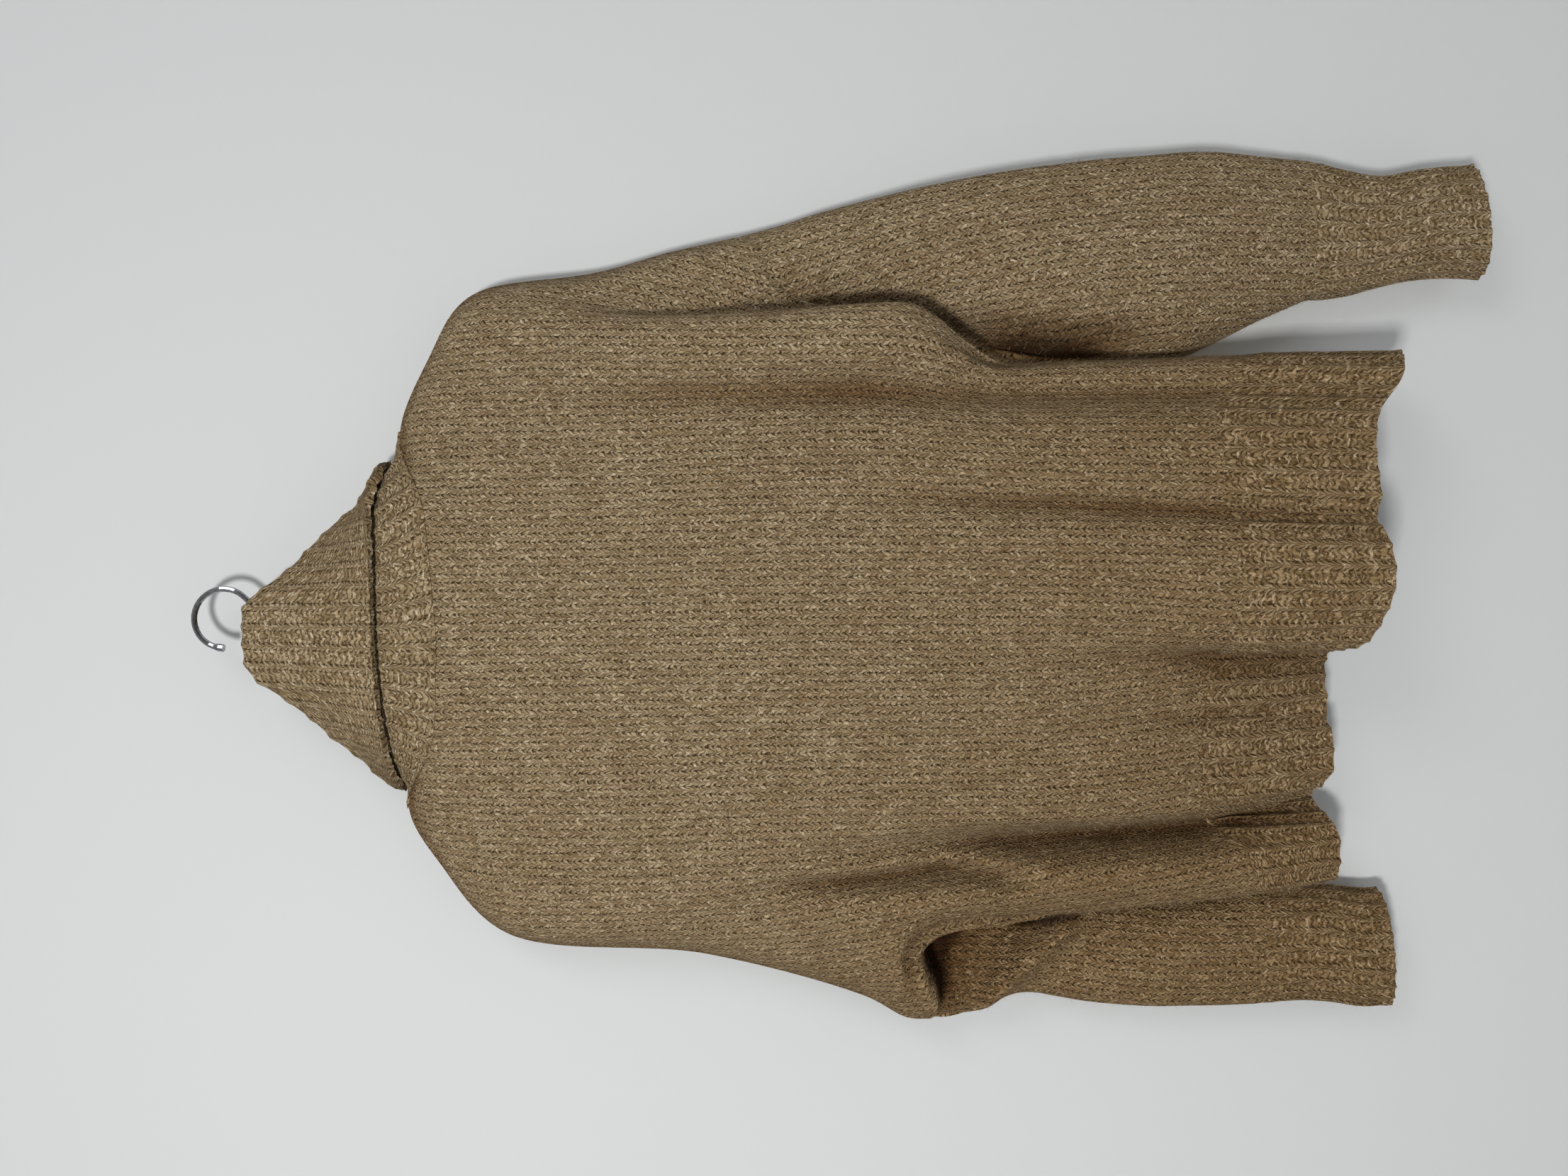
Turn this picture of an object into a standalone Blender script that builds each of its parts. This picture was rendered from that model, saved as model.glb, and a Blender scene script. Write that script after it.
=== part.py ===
"""An oversized turtleneck sweater in chunky wool, hanging on a hanger with a wire hook.

Lengths in the tables are millimetres. A point is (across, down, out): across grows to the
viewer's right, down is counted from the point that the hook hangs by, and out is counted
forward from the plane that the garment's back hangs against, BACK_PLANE behind the hook.
Left and right are the viewer's. Every piece of cloth is a wall around a middle surface.
"""
import math

import bpy
import numpy as np

BACK_PLANE = 25.0
CLOTH = 1.8
RIB_CLOTH = 2.0
SEAM_GAP = 0.4
WIDE_GAP = 1.0
RIB_RISE = 1.3
UNDERARM = 0.36
HEM_SEAM = 0.85
LEFT_HEM_SEAM = 0.766
RIGHT_HEM_SEAM = 0.665
BACK_OUT = 12.0
ROLL = 14.0
SIDE_TURN = 42.0
HEM_RIB_PITCH = 12.8
HEM_REFINE = 4
CUFF_RIBS = 20
COLLAR_RIBS = 36
ARM_RADIUS = 5.0
HOOK_RADIUS = 20.0
WIRE_RADIUS = 2.0

# Seams of the front with the sleeves, from the shoulder to the underarm, and below it the
# side seams down to the hem. Each point is (across, down, out).
LEFT_ARMHOLE = (
    (-268, 494, 28), (-259, 497, 40), (-243, 494, 46), (-231, 488, 44), (-219, 487, 42),
    (-209, 497, 40), (-204, 517, 36), (-203, 546, 28))
LEFT_SIDE = ((-203, 546, 28), (-194, 590, 26), (-183, 655, 27), (-175, 722, 28), (-166, 763, 30))
RIGHT_ARMHOLE = (
    (258, 368, 22), (249, 374, 34), (234, 381, 38), (218, 390, 37), (210, 411, 32),
    (207, 443, 27), (200, 480, 24), (189, 509, 21), (179, 534, 20))
RIGHT_SIDE = ((179, 534, 20), (173, 609, 19), (173, 704, 22), (173, 803, 32))
LEFT_ARMHOLE_BACK = (
    (-268, 494, 28), (-252, 511, 15), (-232, 529, 12), (-214, 543, 15), (-203, 546, 28))
RIGHT_ARMHOLE_BACK = (
    (258, 368, 22), (243, 393, 12), (220, 440, 9), (196, 496, 11), (179, 534, 20))

# Lines down the front between its two seams, from the shoulder or neck to the hem's edge.
# Each row: name, cells between the line before it and this one, then its points.
FRONT_LINES = (
    ("left rim", 2, (
        (-267, 479, 28), (-256, 483, 42), (-236, 481, 54), (-220, 474, 56), (-207, 479, 56),
        (-195, 493, 56), (-192, 518, 52), (-195, 556, 42), (-192, 614, 38), (-186, 671, 38),
        (-180, 723, 38), (-172, 761, 38))),
    ("left elbow", 2, (
        (-253, 451, 27), (-240, 454, 43), (-212, 459, 60), (-189, 478, 66), (-178, 509, 66),
        (-177, 558, 60), (-174, 624, 56), (-169, 692, 52), (-161, 759, 48))),
    ("left drop", 4, (
        (-225, 343, 25), (-213, 348, 42), (-185, 386, 58), (-164, 441, 66), (-155, 501, 66),
        (-153, 562, 62), (-152, 629, 58), (-150, 697, 52), (-143, 760, 46))),
    ("left tip", 4, (
        (-211, 209, 25), (-200, 219, 42), (-173, 294, 58), (-148, 376, 64), (-135, 461, 68),
        (-129, 541, 68), (-128, 612, 64), (-126, 681, 54), (-120, 752, 44))),
    ("left slope", 4, (
        (-165, 165, 25), (-158, 178, 38), (-137, 254, 58), (-117, 345, 65), (-108, 446, 69),
        (-105, 546, 69), (-104, 622, 63), (-103, 692, 52), (-97, 757, 44))),
    ("left neck", 2, (
        (-128, 144, 25), (-122, 161, 40), (-106, 254, 60), (-90, 346, 67), (-81, 445, 72),
        (-78, 545, 71), (-77, 622, 64), (-75, 692, 53), (-71, 756, 43))),
    ("neck left", 2, (
        (-76, 168, 53), (-71, 254, 62), (-59, 346, 68), (-52, 445, 75), (-48, 544, 76),
        (-46, 621, 68), (-45, 691, 54), (-42, 753, 40))),
    ("step foot", 2, (
        (-35, 170, 55), (-33, 254, 62), (-29, 346, 69), (-25, 445, 77), (-23, 543, 80),
        (-22, 619, 74), (-22, 691, 56), (-22, 756, 37))),
    ("step top", 4, (
        (-19, 171, 56), (-18, 255, 63), (-15, 346, 70), (-13, 445, 78), (-12, 543, 83),
        (-12, 615, 86), (-13, 679, 87), (-11, 758, 89))),
    ("middle", 2, (
        (18, 168, 56), (19, 255, 64), (22, 346, 71), (24, 445, 79), (25, 542, 89),
        (25, 612, 98), (24, 671, 106), (24, 763, 112))),
    ("neck right", 4, (
        (72, 161, 52), (71, 255, 63), (73, 346, 70), (76, 445, 77), (75, 542, 88),
        (72, 612, 97), (68, 672, 105), (65, 757, 111))),
    ("right neck", 4, (
        (126, 138, 25), (125, 154, 40), (125, 254, 59), (129, 345, 64), (132, 446, 70),
        (131, 543, 80), (127, 614, 90), (124, 674, 98), (121, 756, 105))),
    ("right slope", 4, (
        (179, 159, 25), (175, 173, 39), (166, 254, 58), (164, 346, 70), (167, 425, 78),
        (164, 480, 76), (153, 525, 70), (153, 595, 72), (152, 679, 85), (147, 775, 101))),
    ("bulge", 2, (
        (208, 175, 25), (202, 188, 40), (190, 254, 58), (186, 336, 69), (190, 415, 77),
        (188, 470, 76), (172, 501, 71), (162, 528, 62), (163, 598, 60), (163, 684, 74),
        (160, 781, 90))),
    ("bulge edge", 2, (
        (221, 193, 24), (213, 207, 40), (199, 263, 54), (196, 320, 58), (198, 386, 63),
        (202, 451, 66), (201, 482, 64), (182, 508, 58), (167, 527, 50), (169, 601, 47),
        (170, 690, 58), (168, 787, 74))),
    ("crevice", 2, (
        (233, 268, 22), (224, 276, 37), (208, 300, 42), (197, 338, 42), (193, 390, 44),
        (194, 442, 47), (190, 476, 47), (177, 506, 45), (167, 533, 40), (169, 606, 36),
        (171, 697, 44), (170, 796, 58))),
    ("right drop", 2, (
        (247, 319, 22), (238, 325, 36), (221, 341, 40), (207, 362, 37), (201, 401, 35),
        (199, 443, 35), (192, 474, 34), (181, 505, 32), (172, 532, 30), (171, 608, 27),
        (172, 701, 32), (172, 800, 45))),
)
LAST_GAP_CELLS = 2

# Troughs pressed into the front. Each row: name, half width, then (across, down, depth).
FRONT_FOLDS = (
    ("left crease", 7.0, ((-172, 385, 0), (-168, 445, 12), (-164, 510, 15), (-159, 560, 6),
                          (-156, 600, 0))),
    ("left valley", 11.0, ((-148, 430, 0), (-145, 500, 12), (-143, 554, 26), (-141, 620, 34),
                           (-138, 673, 32), (-127, 720, 22), (-117, 760, 18))),
    ("right crease", 8.0, ((76, 450, 0), (68, 530, 6), (61, 590, 9), (56, 680, 9), (52, 770, 9))),
    ("right valley", 14.0, ((147, 240, 0), (148, 330, 9), (149, 450, 15), (145, 530, 14),
                            (144, 650, 14), (142, 770, 8))),
)

# Shares of a line's length at which the panels' rows lie, from the shoulder to the hem seam.
PANEL_ROWS = (0, 0.014, 0.035, 0.065, 0.1, 0.145, 0.19, 0.235, 0.28, 0.32, UNDERARM,
              0.41, 0.46, 0.51, 0.56, 0.61, 0.66, 0.71, 0.76, 0.805, HEM_SEAM)
ARMHOLE_CELLS = PANEL_ROWS.index(UNDERARM)
# The back has fewer rows: these of the front's, and its places along a seam follow them.
BACK_ROWS = (0, 1, 2, 4, 6, 8, 10, 12, 14, 16, 18, 20)
BACK_ARMHOLE_CELLS = BACK_ROWS.index(ARMHOLE_CELLS)
BACK_PLACES = np.interp(np.arange(len(PANEL_ROWS)), BACK_ROWS, np.arange(len(BACK_ROWS)))

# The back's neck seam between the two neck points, and its hem from side to side.
BACK_NECK = ((-128, 144, 25), (-98, 151, 13), (-50, 157, 11), (0, 158, 11), (50, 155, 11),
             (98, 147, 13), (126, 138, 25))
BACK_HEM = ((-166, 763, 30), (-120, 752, 12), (-60, 750, 12), (0, 752, 12), (60, 758, 12),
            (120, 772, 12), (173, 803, 32))

# Rings down each sleeve. Columns: outer edge across and down, inner edge across and down,
# out at the front and at the back, out at the inner edge, and how much of the armhole's
# bend the ring keeps.
LEFT_SLEEVE = (
    (-268, 494, -203, 546, 44, 13, 28, 1.0),
    (-271, 505, -210, 560, 33, 9, 19, 0.75),
    (-269, 517, -211, 578, 29, 8, 16, 0.35),
    (-263, 530, -206, 597, 39, 8, 14, 0.1),
    (-257, 546, -203, 615, 29, 8, 13, 0.0),
    (-254, 566, -200, 633, 28, 8, 12, 0.0),
    (-259, 600, -195, 655, 32, 8, 12, 0.0),
    (-262, 640, -190, 680, 33, 8, 12, 0.0),
    (-262, 680, -186, 702, 32, 8, 12, 0.0),
    (-261, 714, -183, 722, 31, 8, 13, 0.0),
)
RIGHT_SLEEVE = (
    (258, 368, 179, 534, 36, 10, 20, 1.0),
    (266, 396, 187, 547, 36, 9, 18, 0.85),
    (275, 428, 189, 560, 42, 9, 18, 0.6),
    (286, 475, 189, 577, 50, 9, 18, 0.25),
    (296, 531, 187, 598, 55, 9, 19, 0.0),
    (303, 582, 184, 626, 56, 9, 20, 0.0),
    (309, 640, 182, 657, 54, 9, 20, 0.0),
    (312, 677, 189, 684, 50, 9, 20, 0.0),
    (310, 714, 203, 718, 45, 9, 20, 0.0),
    (308, 747, 217, 750, 40, 9, 20, 0.0),
)
SLEEVE_STEPS = 1
# Rings down each cuff, with the same first seven columns.
LEFT_CUFF = (
    (-261, 714, -183, 722, 31, 8, 13),
    (-258, 741, -183, 745, 30, 8, 13),
    (-258, 765, -184, 766, 32, 9, 14),
    (-261, 786, -186, 784, 34, 9, 15),
    (-260, 806, -186, 800, 33, 10, 16),
)
RIGHT_CUFF = (
    (308, 747, 217, 750, 40, 9, 20),
    (301, 773, 221, 777, 38, 9, 20),
    (297, 798, 227, 800, 38, 10, 21),
    (301, 827, 232, 828, 42, 10, 22),
    (303, 857, 232, 866, 42, 11, 22),
)

# The collar's crest, where it turns over, and the free edge of its fall: (across, down).
CREST = ((-112, 130), (-92, 113), (-79, 96), (-64, 80), (-50, 61), (-41, 46), (-31, 38), (-15, 36),
         (6, 36), (13, 41), (21, 52), (33, 68), (47, 81), (61, 95), (74, 110), (90, 117), (102, 120))
FALL_EDGE = ((-112, 141), (-90, 138), (-55, 134), (-20, 131), (40, 129), (75, 126), (90, 127),
             (102, 130))
COLLAR_MIDDLE = -5.0
# Rings of the collar, from the neck up inside and down outside. Columns: name, half width,
# depth to the front and to the back of the hook's plane, height, which is 0 at the crest,
# 1 at the free edge and 2 at the neck's seam, and drop, in millimetres below that height.
COLLAR_RINGS = (
    ("stand", 103.0, 28.0, 13.5, 1.05, 3.0),
    ("stand high", 100.5, 22.0, 11.5, 0.66, 4.0),
    ("stand top", 100.0, 14.0, 9.5, 0.3, 4.0),
    ("inside crest", 100.0, 9.0, 8.6, 0.0, 5.0),
    ("crest", 103.5, 12.0, 11.5, 0.0, 1.0),
    ("outside crest", 107.0, 15.0, 14.0, 0.0, 4.0),
    ("fall high", 107.5, 21.5, 16.0, 0.33, 2.8),
    ("fall", 108.0, 29.0, 18.0, 0.68, 1.0),
    ("fall edge", 108.0, 35.5, 19.3, 1.0, 0.0),
)
COLLAR_SQUARENESS = 0.5

# The hanger's bar from the hook's stem to each tip, (across, down).
LEFT_ARM = ((0, 108), (-60, 131), (-100, 152), (-128, 156), (-160, 173), (-180, 192))
RIGHT_ARM = ((0, 108), (60, 128), (98, 145), (126, 149), (160, 162), (198, 183))


def remove_all():
    for item in list(bpy.context.scene.objects):
        bpy.data.objects.remove(item, do_unlink=True)


def make_collection(name):
    collection = bpy.data.collections.new(name)
    bpy.context.scene.collection.children.link(collection)
    return collection


def make_material(name, colour, roughness, metallic=0.0):
    material = bpy.data.materials.new(name)
    material.use_nodes = True
    shader = material.node_tree.nodes["Principled BSDF"]
    shader.inputs["Base Color"].default_value = (*colour, 1.0)
    shader.inputs["Roughness"].default_value = roughness
    shader.inputs["Metallic"].default_value = metallic
    return material


def to_metres(points):
    """Turns (across, down, out) in millimetres into metres in the part's frame."""
    points = np.asarray(points, dtype=float)
    across = points[..., 0]
    down = points[..., 1]
    out = points[..., 2]
    return np.stack([across, BACK_PLANE - out, -down], axis=-1) / 1000.0


def unit(vectors):
    length = np.linalg.norm(vectors, axis=-1, keepdims=True)
    return vectors / np.maximum(length, 1e-9)


def knots_of(points):
    """Centripetal knots, which keep a curve through uneven points free of loops."""
    steps = np.linalg.norm(np.diff(points, axis=0), axis=1)
    return np.concatenate([[0.0], np.cumsum(np.sqrt(np.maximum(steps, 0.05)))])


def curve(points, knots, where):
    """A smooth curve through the points, read at the given knot values."""
    points = np.asarray(points, dtype=float)
    widths = np.diff(knots)
    slopes = np.diff(points, axis=0) / widths[:, None]
    tangents = np.empty_like(points)
    tangents[0] = slopes[0]
    tangents[-1] = slopes[-1]
    before = widths[:-1, None]
    after = widths[1:, None]
    tangents[1:-1] = (after * slopes[:-1] + before * slopes[1:]) / (before + after)
    span = np.clip(np.searchsorted(knots, where, side="right") - 1, 0, len(widths) - 1)
    width = widths[span][:, None]
    s = ((where - knots[span]) / widths[span])[:, None]
    return ((1 + 2 * s) * (1 - s) ** 2 * points[span] + s * (1 - s) ** 2 * width * tangents[span]
            + s * s * (3 - 2 * s) * points[span + 1] + s * s * (s - 1) * width * tangents[span + 1])


def lengths_of(points):
    steps = np.linalg.norm(np.diff(points, axis=0), axis=1)
    return np.concatenate([[0.0], np.cumsum(steps)])


def line(points, shares):
    """Points at the given shares of a smooth curve's length."""
    points = np.asarray(points, dtype=float)
    knots = knots_of(points)
    fine = curve(points, knots, np.linspace(0.0, knots[-1], 24 * len(points)))
    lengths = lengths_of(fine)
    at = np.asarray(shares) * lengths[-1]
    return np.stack([np.interp(at, lengths, fine[:, k]) for k in range(3)], axis=1)


def seam_line(armhole, side, hem_seam, shares):
    """A panel's outer border: its armhole down to the underarm's share, then its side."""
    shares = np.asarray(shares, dtype=float)
    upper = line(armhole, np.clip(shares / UNDERARM, 0.0, 1.0))
    lower = line(side, np.interp(shares, (UNDERARM, HEM_SEAM, 1.0), (0.0, hem_seam, 1.0)))
    return np.where((shares <= UNDERARM)[:, None], upper, lower)


def pressed(points):
    """Presses the front's troughs into points of its middle surface."""
    points = points.copy()
    for _, half_width, path in FRONT_FOLDS:
        across, down, depth = np.array(path, dtype=float).T
        centre = np.interp(points[..., 1], down, across)
        trough = np.interp(points[..., 1], down, depth, left=0.0)
        away = (points[..., 0] - centre) / half_width
        points[..., 2] -= trough * np.exp(-away * away)
    return points


def front_cells():
    return [row[1] for row in FRONT_LINES] + [LAST_GAP_CELLS]


def front_surface(shares, cells):
    """The front's middle surface: a row for each share, with the given cells in each gap."""
    lines = [seam_line(LEFT_ARMHOLE, LEFT_SIDE, LEFT_HEM_SEAM, shares)]
    lines += [line(row[2], shares) for row in FRONT_LINES]
    lines.append(seam_line(RIGHT_ARMHOLE, RIGHT_SIDE, RIGHT_HEM_SEAM, shares))
    lines = np.array(lines)
    rows = []
    for row in range(len(shares)):
        points = lines[:, row]
        knots = knots_of(points)
        where = [knots[0]]
        for gap, count in enumerate(cells):
            where += list(np.linspace(knots[gap], knots[gap + 1], count + 1)[1:])
        surface = curve(points, knots, np.array(where))
        inner = pressed(surface[1:-1])
        rows.append(np.concatenate([surface[:1], inner, surface[-1:]]))
    return np.array(rows)


def back_surface(shares, top):
    """The back's middle surface, between the given top border, its seams and its hem."""
    count = len(top)
    shares = np.asarray(shares, dtype=float)
    left = seam_line(LEFT_ARMHOLE_BACK, LEFT_SIDE, LEFT_HEM_SEAM, shares)
    right = seam_line(RIGHT_ARMHOLE_BACK, RIGHT_SIDE, RIGHT_HEM_SEAM, shares)
    hem = line(BACK_HEM, np.linspace(0.0, 1.0, count))
    u = np.linspace(0.0, 1.0, count)[None, :, None]
    v = shares[:, None, None]
    surface = ((1 - v) * top[None] + v * hem[None] + (1 - u) * left[:, None] + u * right[:, None]
               - (1 - u) * (1 - v) * top[0] - u * (1 - v) * top[-1]
               - (1 - u) * v * hem[0] - u * v * hem[-1])
    flat = surface[..., :2]
    from_left = np.linalg.norm(flat - flat[:, :1], axis=-1)
    from_right = np.linalg.norm(flat - flat[:, -1:], axis=-1)
    from_top = np.linalg.norm(flat - flat[:1], axis=-1)
    near_left = np.clip(1 - from_left / SIDE_TURN, 0, 1) ** 1.5
    near_right = np.clip(1 - from_right / SIDE_TURN, 0, 1) ** 1.5
    near_top = 1 - np.sqrt(np.clip(1 - (1 - np.clip(from_top / ROLL, 0, 1)) ** 2, 0, 1))
    sides = (near_left * left[:, 2:3] + near_right * right[:, 2:3]
             + (1 - near_left - near_right) * BACK_OUT)
    surface[..., 2] = sides + near_top * (top[None, :, 2] - sides[:1])
    return surface


def ring(row, turns):
    """A flat tube's ring. A turn of 0 is its outer edge, 0.5 its inner edge, by the front."""
    outer_across, outer_down, inner_across, inner_down, front, back, inner_out = row[:7]
    turns = np.asarray(turns)
    share = (1 - np.cos(2 * math.pi * turns)) / 2
    swell = np.abs(np.sin(2 * math.pi * turns))
    outer_out = (front + back) / 2 - 2.0
    edge = outer_out + (inner_out - outer_out) * share
    face = np.where(turns <= 0.5, front, back)
    power = np.where(turns <= 0.5, 0.85, 0.7)
    across = outer_across + (inner_across - outer_across) * share
    down = outer_down + (inner_down - outer_down) * share
    return np.stack([across, down, edge + (face - edge) * swell ** power], axis=-1)


def tube(rings, turns, steps):
    """A sleeve's or cuff's middle surface, with steps rows from each ring to the next."""
    table = np.array(rings, dtype=float)
    knots = np.arange(len(table), dtype=float)
    where = np.linspace(0.0, knots[-1], steps * (len(table) - 1) + 1)
    return np.array([ring(row, turns) for row in curve(table, knots, where)])


def sleeve_surface(rings, turns, armhole, steps):
    """A sleeve that starts on its armhole's seams and loses their bend ring by ring."""
    surface = tube(rings, turns, steps)
    keep = np.interp(np.linspace(0, len(rings) - 1, len(surface)), range(len(rings)),
                     [row[7] for row in rings])
    return surface + keep[:, None, None] * (armhole - surface[0])[None]


def even_places(points, count):
    """Places along a border, in steps between its points, that divide its length evenly."""
    lengths = lengths_of(points)
    return np.interp(np.linspace(0.0, lengths[-1], count + 1), lengths, np.arange(len(points)))


def collar_side(half_width, depth, height, drop, seam):
    """Half a ring of the collar from left to right, its ribs evenly spaced along it."""
    angle = np.linspace(0.0, math.pi, 361)
    along = -np.sign(np.cos(angle)) * np.abs(np.cos(angle)) ** COLLAR_SQUARENESS
    bow = np.stack([COLLAR_MIDDLE + half_width * along, BACK_PLANE + depth * np.sin(angle)], axis=1)
    places = even_places(bow, len(seam) - 1)
    across = np.interp(places, np.arange(len(bow)), bow[:, 0])
    out = np.interp(places, np.arange(len(bow)), bow[:, 1])
    crest = np.interp(across, *np.array(CREST, dtype=float).T)
    edge = np.interp(across, *np.array(FALL_EDGE, dtype=float).T)
    upper = crest + (edge - crest) * min(height, 1.0)
    down = upper + (seam[:, 1] - edge) * max(height - 1.0, 0.0) + drop
    return np.stack([across, down, out], axis=1)


def collar_surface(front_seam, back_seam):
    """The collar's middle surface. Its first ring is the neck's seam, both from left to right."""
    rows = [np.concatenate([front_seam, back_seam[::-1][1:-1]])]
    for _, half_width, front, back, height, drop in COLLAR_RINGS:
        before = collar_side(half_width, front, height, drop, front_seam)
        behind = collar_side(half_width, -back, height, drop, back_seam)
        rows.append(np.concatenate([before, behind[::-1][1:-1]]))
    return np.array(rows)


def grid_normals(points, closed):
    """Outward unit normals of a grid whose rows run down and whose columns run across."""
    if closed:
        along = np.roll(points, -1, axis=1) - np.roll(points, 1, axis=1)
    else:
        along = np.gradient(points, axis=1)
    down = np.gradient(points, axis=0)
    return unit(np.cross(down, along))


class Cloth:
    """A piece of cloth: a grid of middle points in metres, with its walls' normals."""

    def __init__(self, name, points, thickness, closed=False, flip=False, borders=""):
        self.name = name
        self.points = to_metres(points)
        self.thickness = thickness / 1000.0
        self.closed = closed
        self.side = -1.0 if flip else 1.0
        self.borders = borders
        self.relief = np.zeros(self.points.shape[:2])
        self.own = self.side * grid_normals(self.points, closed)
        self.total = self.own.copy()
        self.facing = 1.0
        self.corners = []
        self.gap = SEAM_GAP

    def border_points(self):
        """The indices of the grid's points along all its borders."""
        rows, columns = self.points.shape[:2]
        return [(row, column) for row in range(rows) for column in range(columns)
                if row in (0, rows - 1) or (not self.closed and column in (0, columns - 1))]

    def pulled_back(self):
        """The grid with the named borders drawn in by half the seam's gap."""
        points = self.points.copy()
        columns = points.shape[1]
        inner = {"top": (0, 1), "bottom": (-1, -2), "left": (0, 1), "right": (-1, -2)}
        for border in self.borders.split():
            edge, next_in = inner[border]
            if border in ("top", "bottom"):
                here, there = self.points[edge], self.points[next_in]
                normal = self.total[edge]
                target = points[edge]
            else:
                here, there = self.points[:, edge], self.points[:, next_in]
                normal = self.total[:, edge]
                target = points[:, edge]
            if self.closed:
                tangent = np.roll(here, -1, axis=0) - np.roll(here, 1, axis=0)
            else:
                tangent = np.gradient(here, axis=0)
            inward = unit(np.cross(unit(normal), unit(tangent)))
            inward *= np.sign(np.sum(inward * (there - here), axis=1, keepdims=True))
            target += inward * self.gap / 2000.0
        for row, column in self.corners:
            inside = self.points[row + (row == 0), column + (column == 0) - (column == columns - 1)]
            points[row, column] = self.points[row, column]
            points[row, column] += unit(inside - self.points[row, column]) * SEAM_GAP / 1000.0
        return points

    def build(self, collection, material):
        middle = self.pulled_back()
        normals = self.total
        outer = middle + normals * (self.thickness / 2 + self.relief[..., None] / 1000.0)
        inner = middle - normals * self.thickness / 2
        rows, columns = middle.shape[:2]
        wrap = columns if self.closed else columns - 1
        half = rows * columns

        def index(row, column, layer):
            return layer * half + row * columns + column % columns

        faces = []
        for row in range(rows - 1):
            for column in range(wrap):
                corners = [(row, column), (row, (column + 1) % columns),
                           (row + 1, (column + 1) % columns), (row + 1, column)]
                a, b, c, d = [middle[corner] for corner in corners]
                start = 0 if np.linalg.norm(a - c) < np.linalg.norm(b - d) else 1
                for turn in (start, start + 2):
                    half_cell = [corners[(turn + step) % 4] for step in range(3)]
                    faces.append([index(*corner, 0) for corner in half_cell[::-1]])
                    faces.append([index(*corner, 1) for corner in half_cell])
        for column in range(wrap):
            for row, order in ((0, 1), (rows - 1, -1)):
                rim = [index(row, column, 0), index(row, column + 1, 0),
                       index(row, column + 1, 1), index(row, column, 1)]
                faces.append(rim[::order])
        if not self.closed:
            for row in range(rows - 1):
                for column, order in ((0, -1), (columns - 1, 1)):
                    rim = [index(row, column, 0), index(row + 1, column, 0),
                           index(row + 1, column, 1), index(row, column, 1)]
                    faces.append(rim[::order])
        if self.side < 0:
            faces = [face[::-1] for face in faces]
        mesh = bpy.data.meshes.new(self.name)
        mesh.from_pydata(np.concatenate([outer.reshape(-1, 3), inner.reshape(-1, 3)]).tolist(),
                         [], faces)
        mesh.shade_smooth()
        mesh.set_sharp_from_angle(angle=math.radians(50))
        mesh.materials.append(material)
        item = bpy.data.objects.new(self.name, mesh)
        collection.objects.link(item)
        return item


def resampled(values, at):
    """Values along a border, read at fractional places between its points."""
    places = np.arange(len(values))
    return np.stack([np.interp(at, places, values[:, k]) for k in range(3)], axis=1)


def place_of(point):
    """A point's name by its place, to a fiftieth of a millimetre."""
    return tuple(np.round(point * 50000.0).astype(int))


def share_normals(pieces, seams):
    """Pieces that meet lean the same way there, so that their walls end face to face.

    A seam is (coarse piece, its points, fine piece, its points, their places along the coarse
    border). All the points at one place take the sum of their normals, and then a fine
    border is read from the coarse one. An underarm faces down, between the body and the sleeve.
    """
    sums = {}
    for piece in pieces:
        for index in piece.border_points():
            place = place_of(piece.points[index])
            sums[place] = sums.get(place, 0.0) + piece.facing * piece.own[index]
    for coarse, coarse_index, fine, fine_index, at in seams:
        fine_own = fine.facing * fine.own[fine_index]
        points = coarse.points[coarse_index]
        back_at = np.interp(np.arange(len(points)), at, np.arange(len(at)))
        for point, normal in zip(points, resampled(fine_own, back_at)):
            sums[place_of(point)] += normal
    underarms = [place_of(to_metres(side[0])) for side in (LEFT_SIDE, RIGHT_SIDE)]
    for place in underarms:
        sums[place] = np.array([0.0, 0.0, -1.0])
    for piece in pieces:
        for index in piece.border_points():
            place = place_of(piece.points[index])
            piece.total[index] = piece.facing * unit(sums[place])
            if place in underarms:
                piece.corners.append(index)
    for coarse, coarse_index, fine, fine_index, at in seams:
        fine.total[fine_index] = fine.facing * resampled(coarse.total[coarse_index], at)


def rib_columns(grid, panel_edge):
    """A rib band's grid, its columns half a rib apart along the hem's own folds.

    The band's first row is read from the panel's edge, which it is sewn to.
    """
    lengths = lengths_of(grid[len(grid) // 2])
    count = 2 * round(lengths[-1] / HEM_RIB_PITCH)
    at = np.linspace(0.0, lengths[-1], count + 1)
    places = np.interp(at, lengths, np.arange(len(lengths)))
    rows = [resampled(row, places) for row in grid]
    rows[0] = resampled(panel_edge, places / HEM_REFINE)
    return np.array(rows), places / HEM_REFINE


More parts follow.
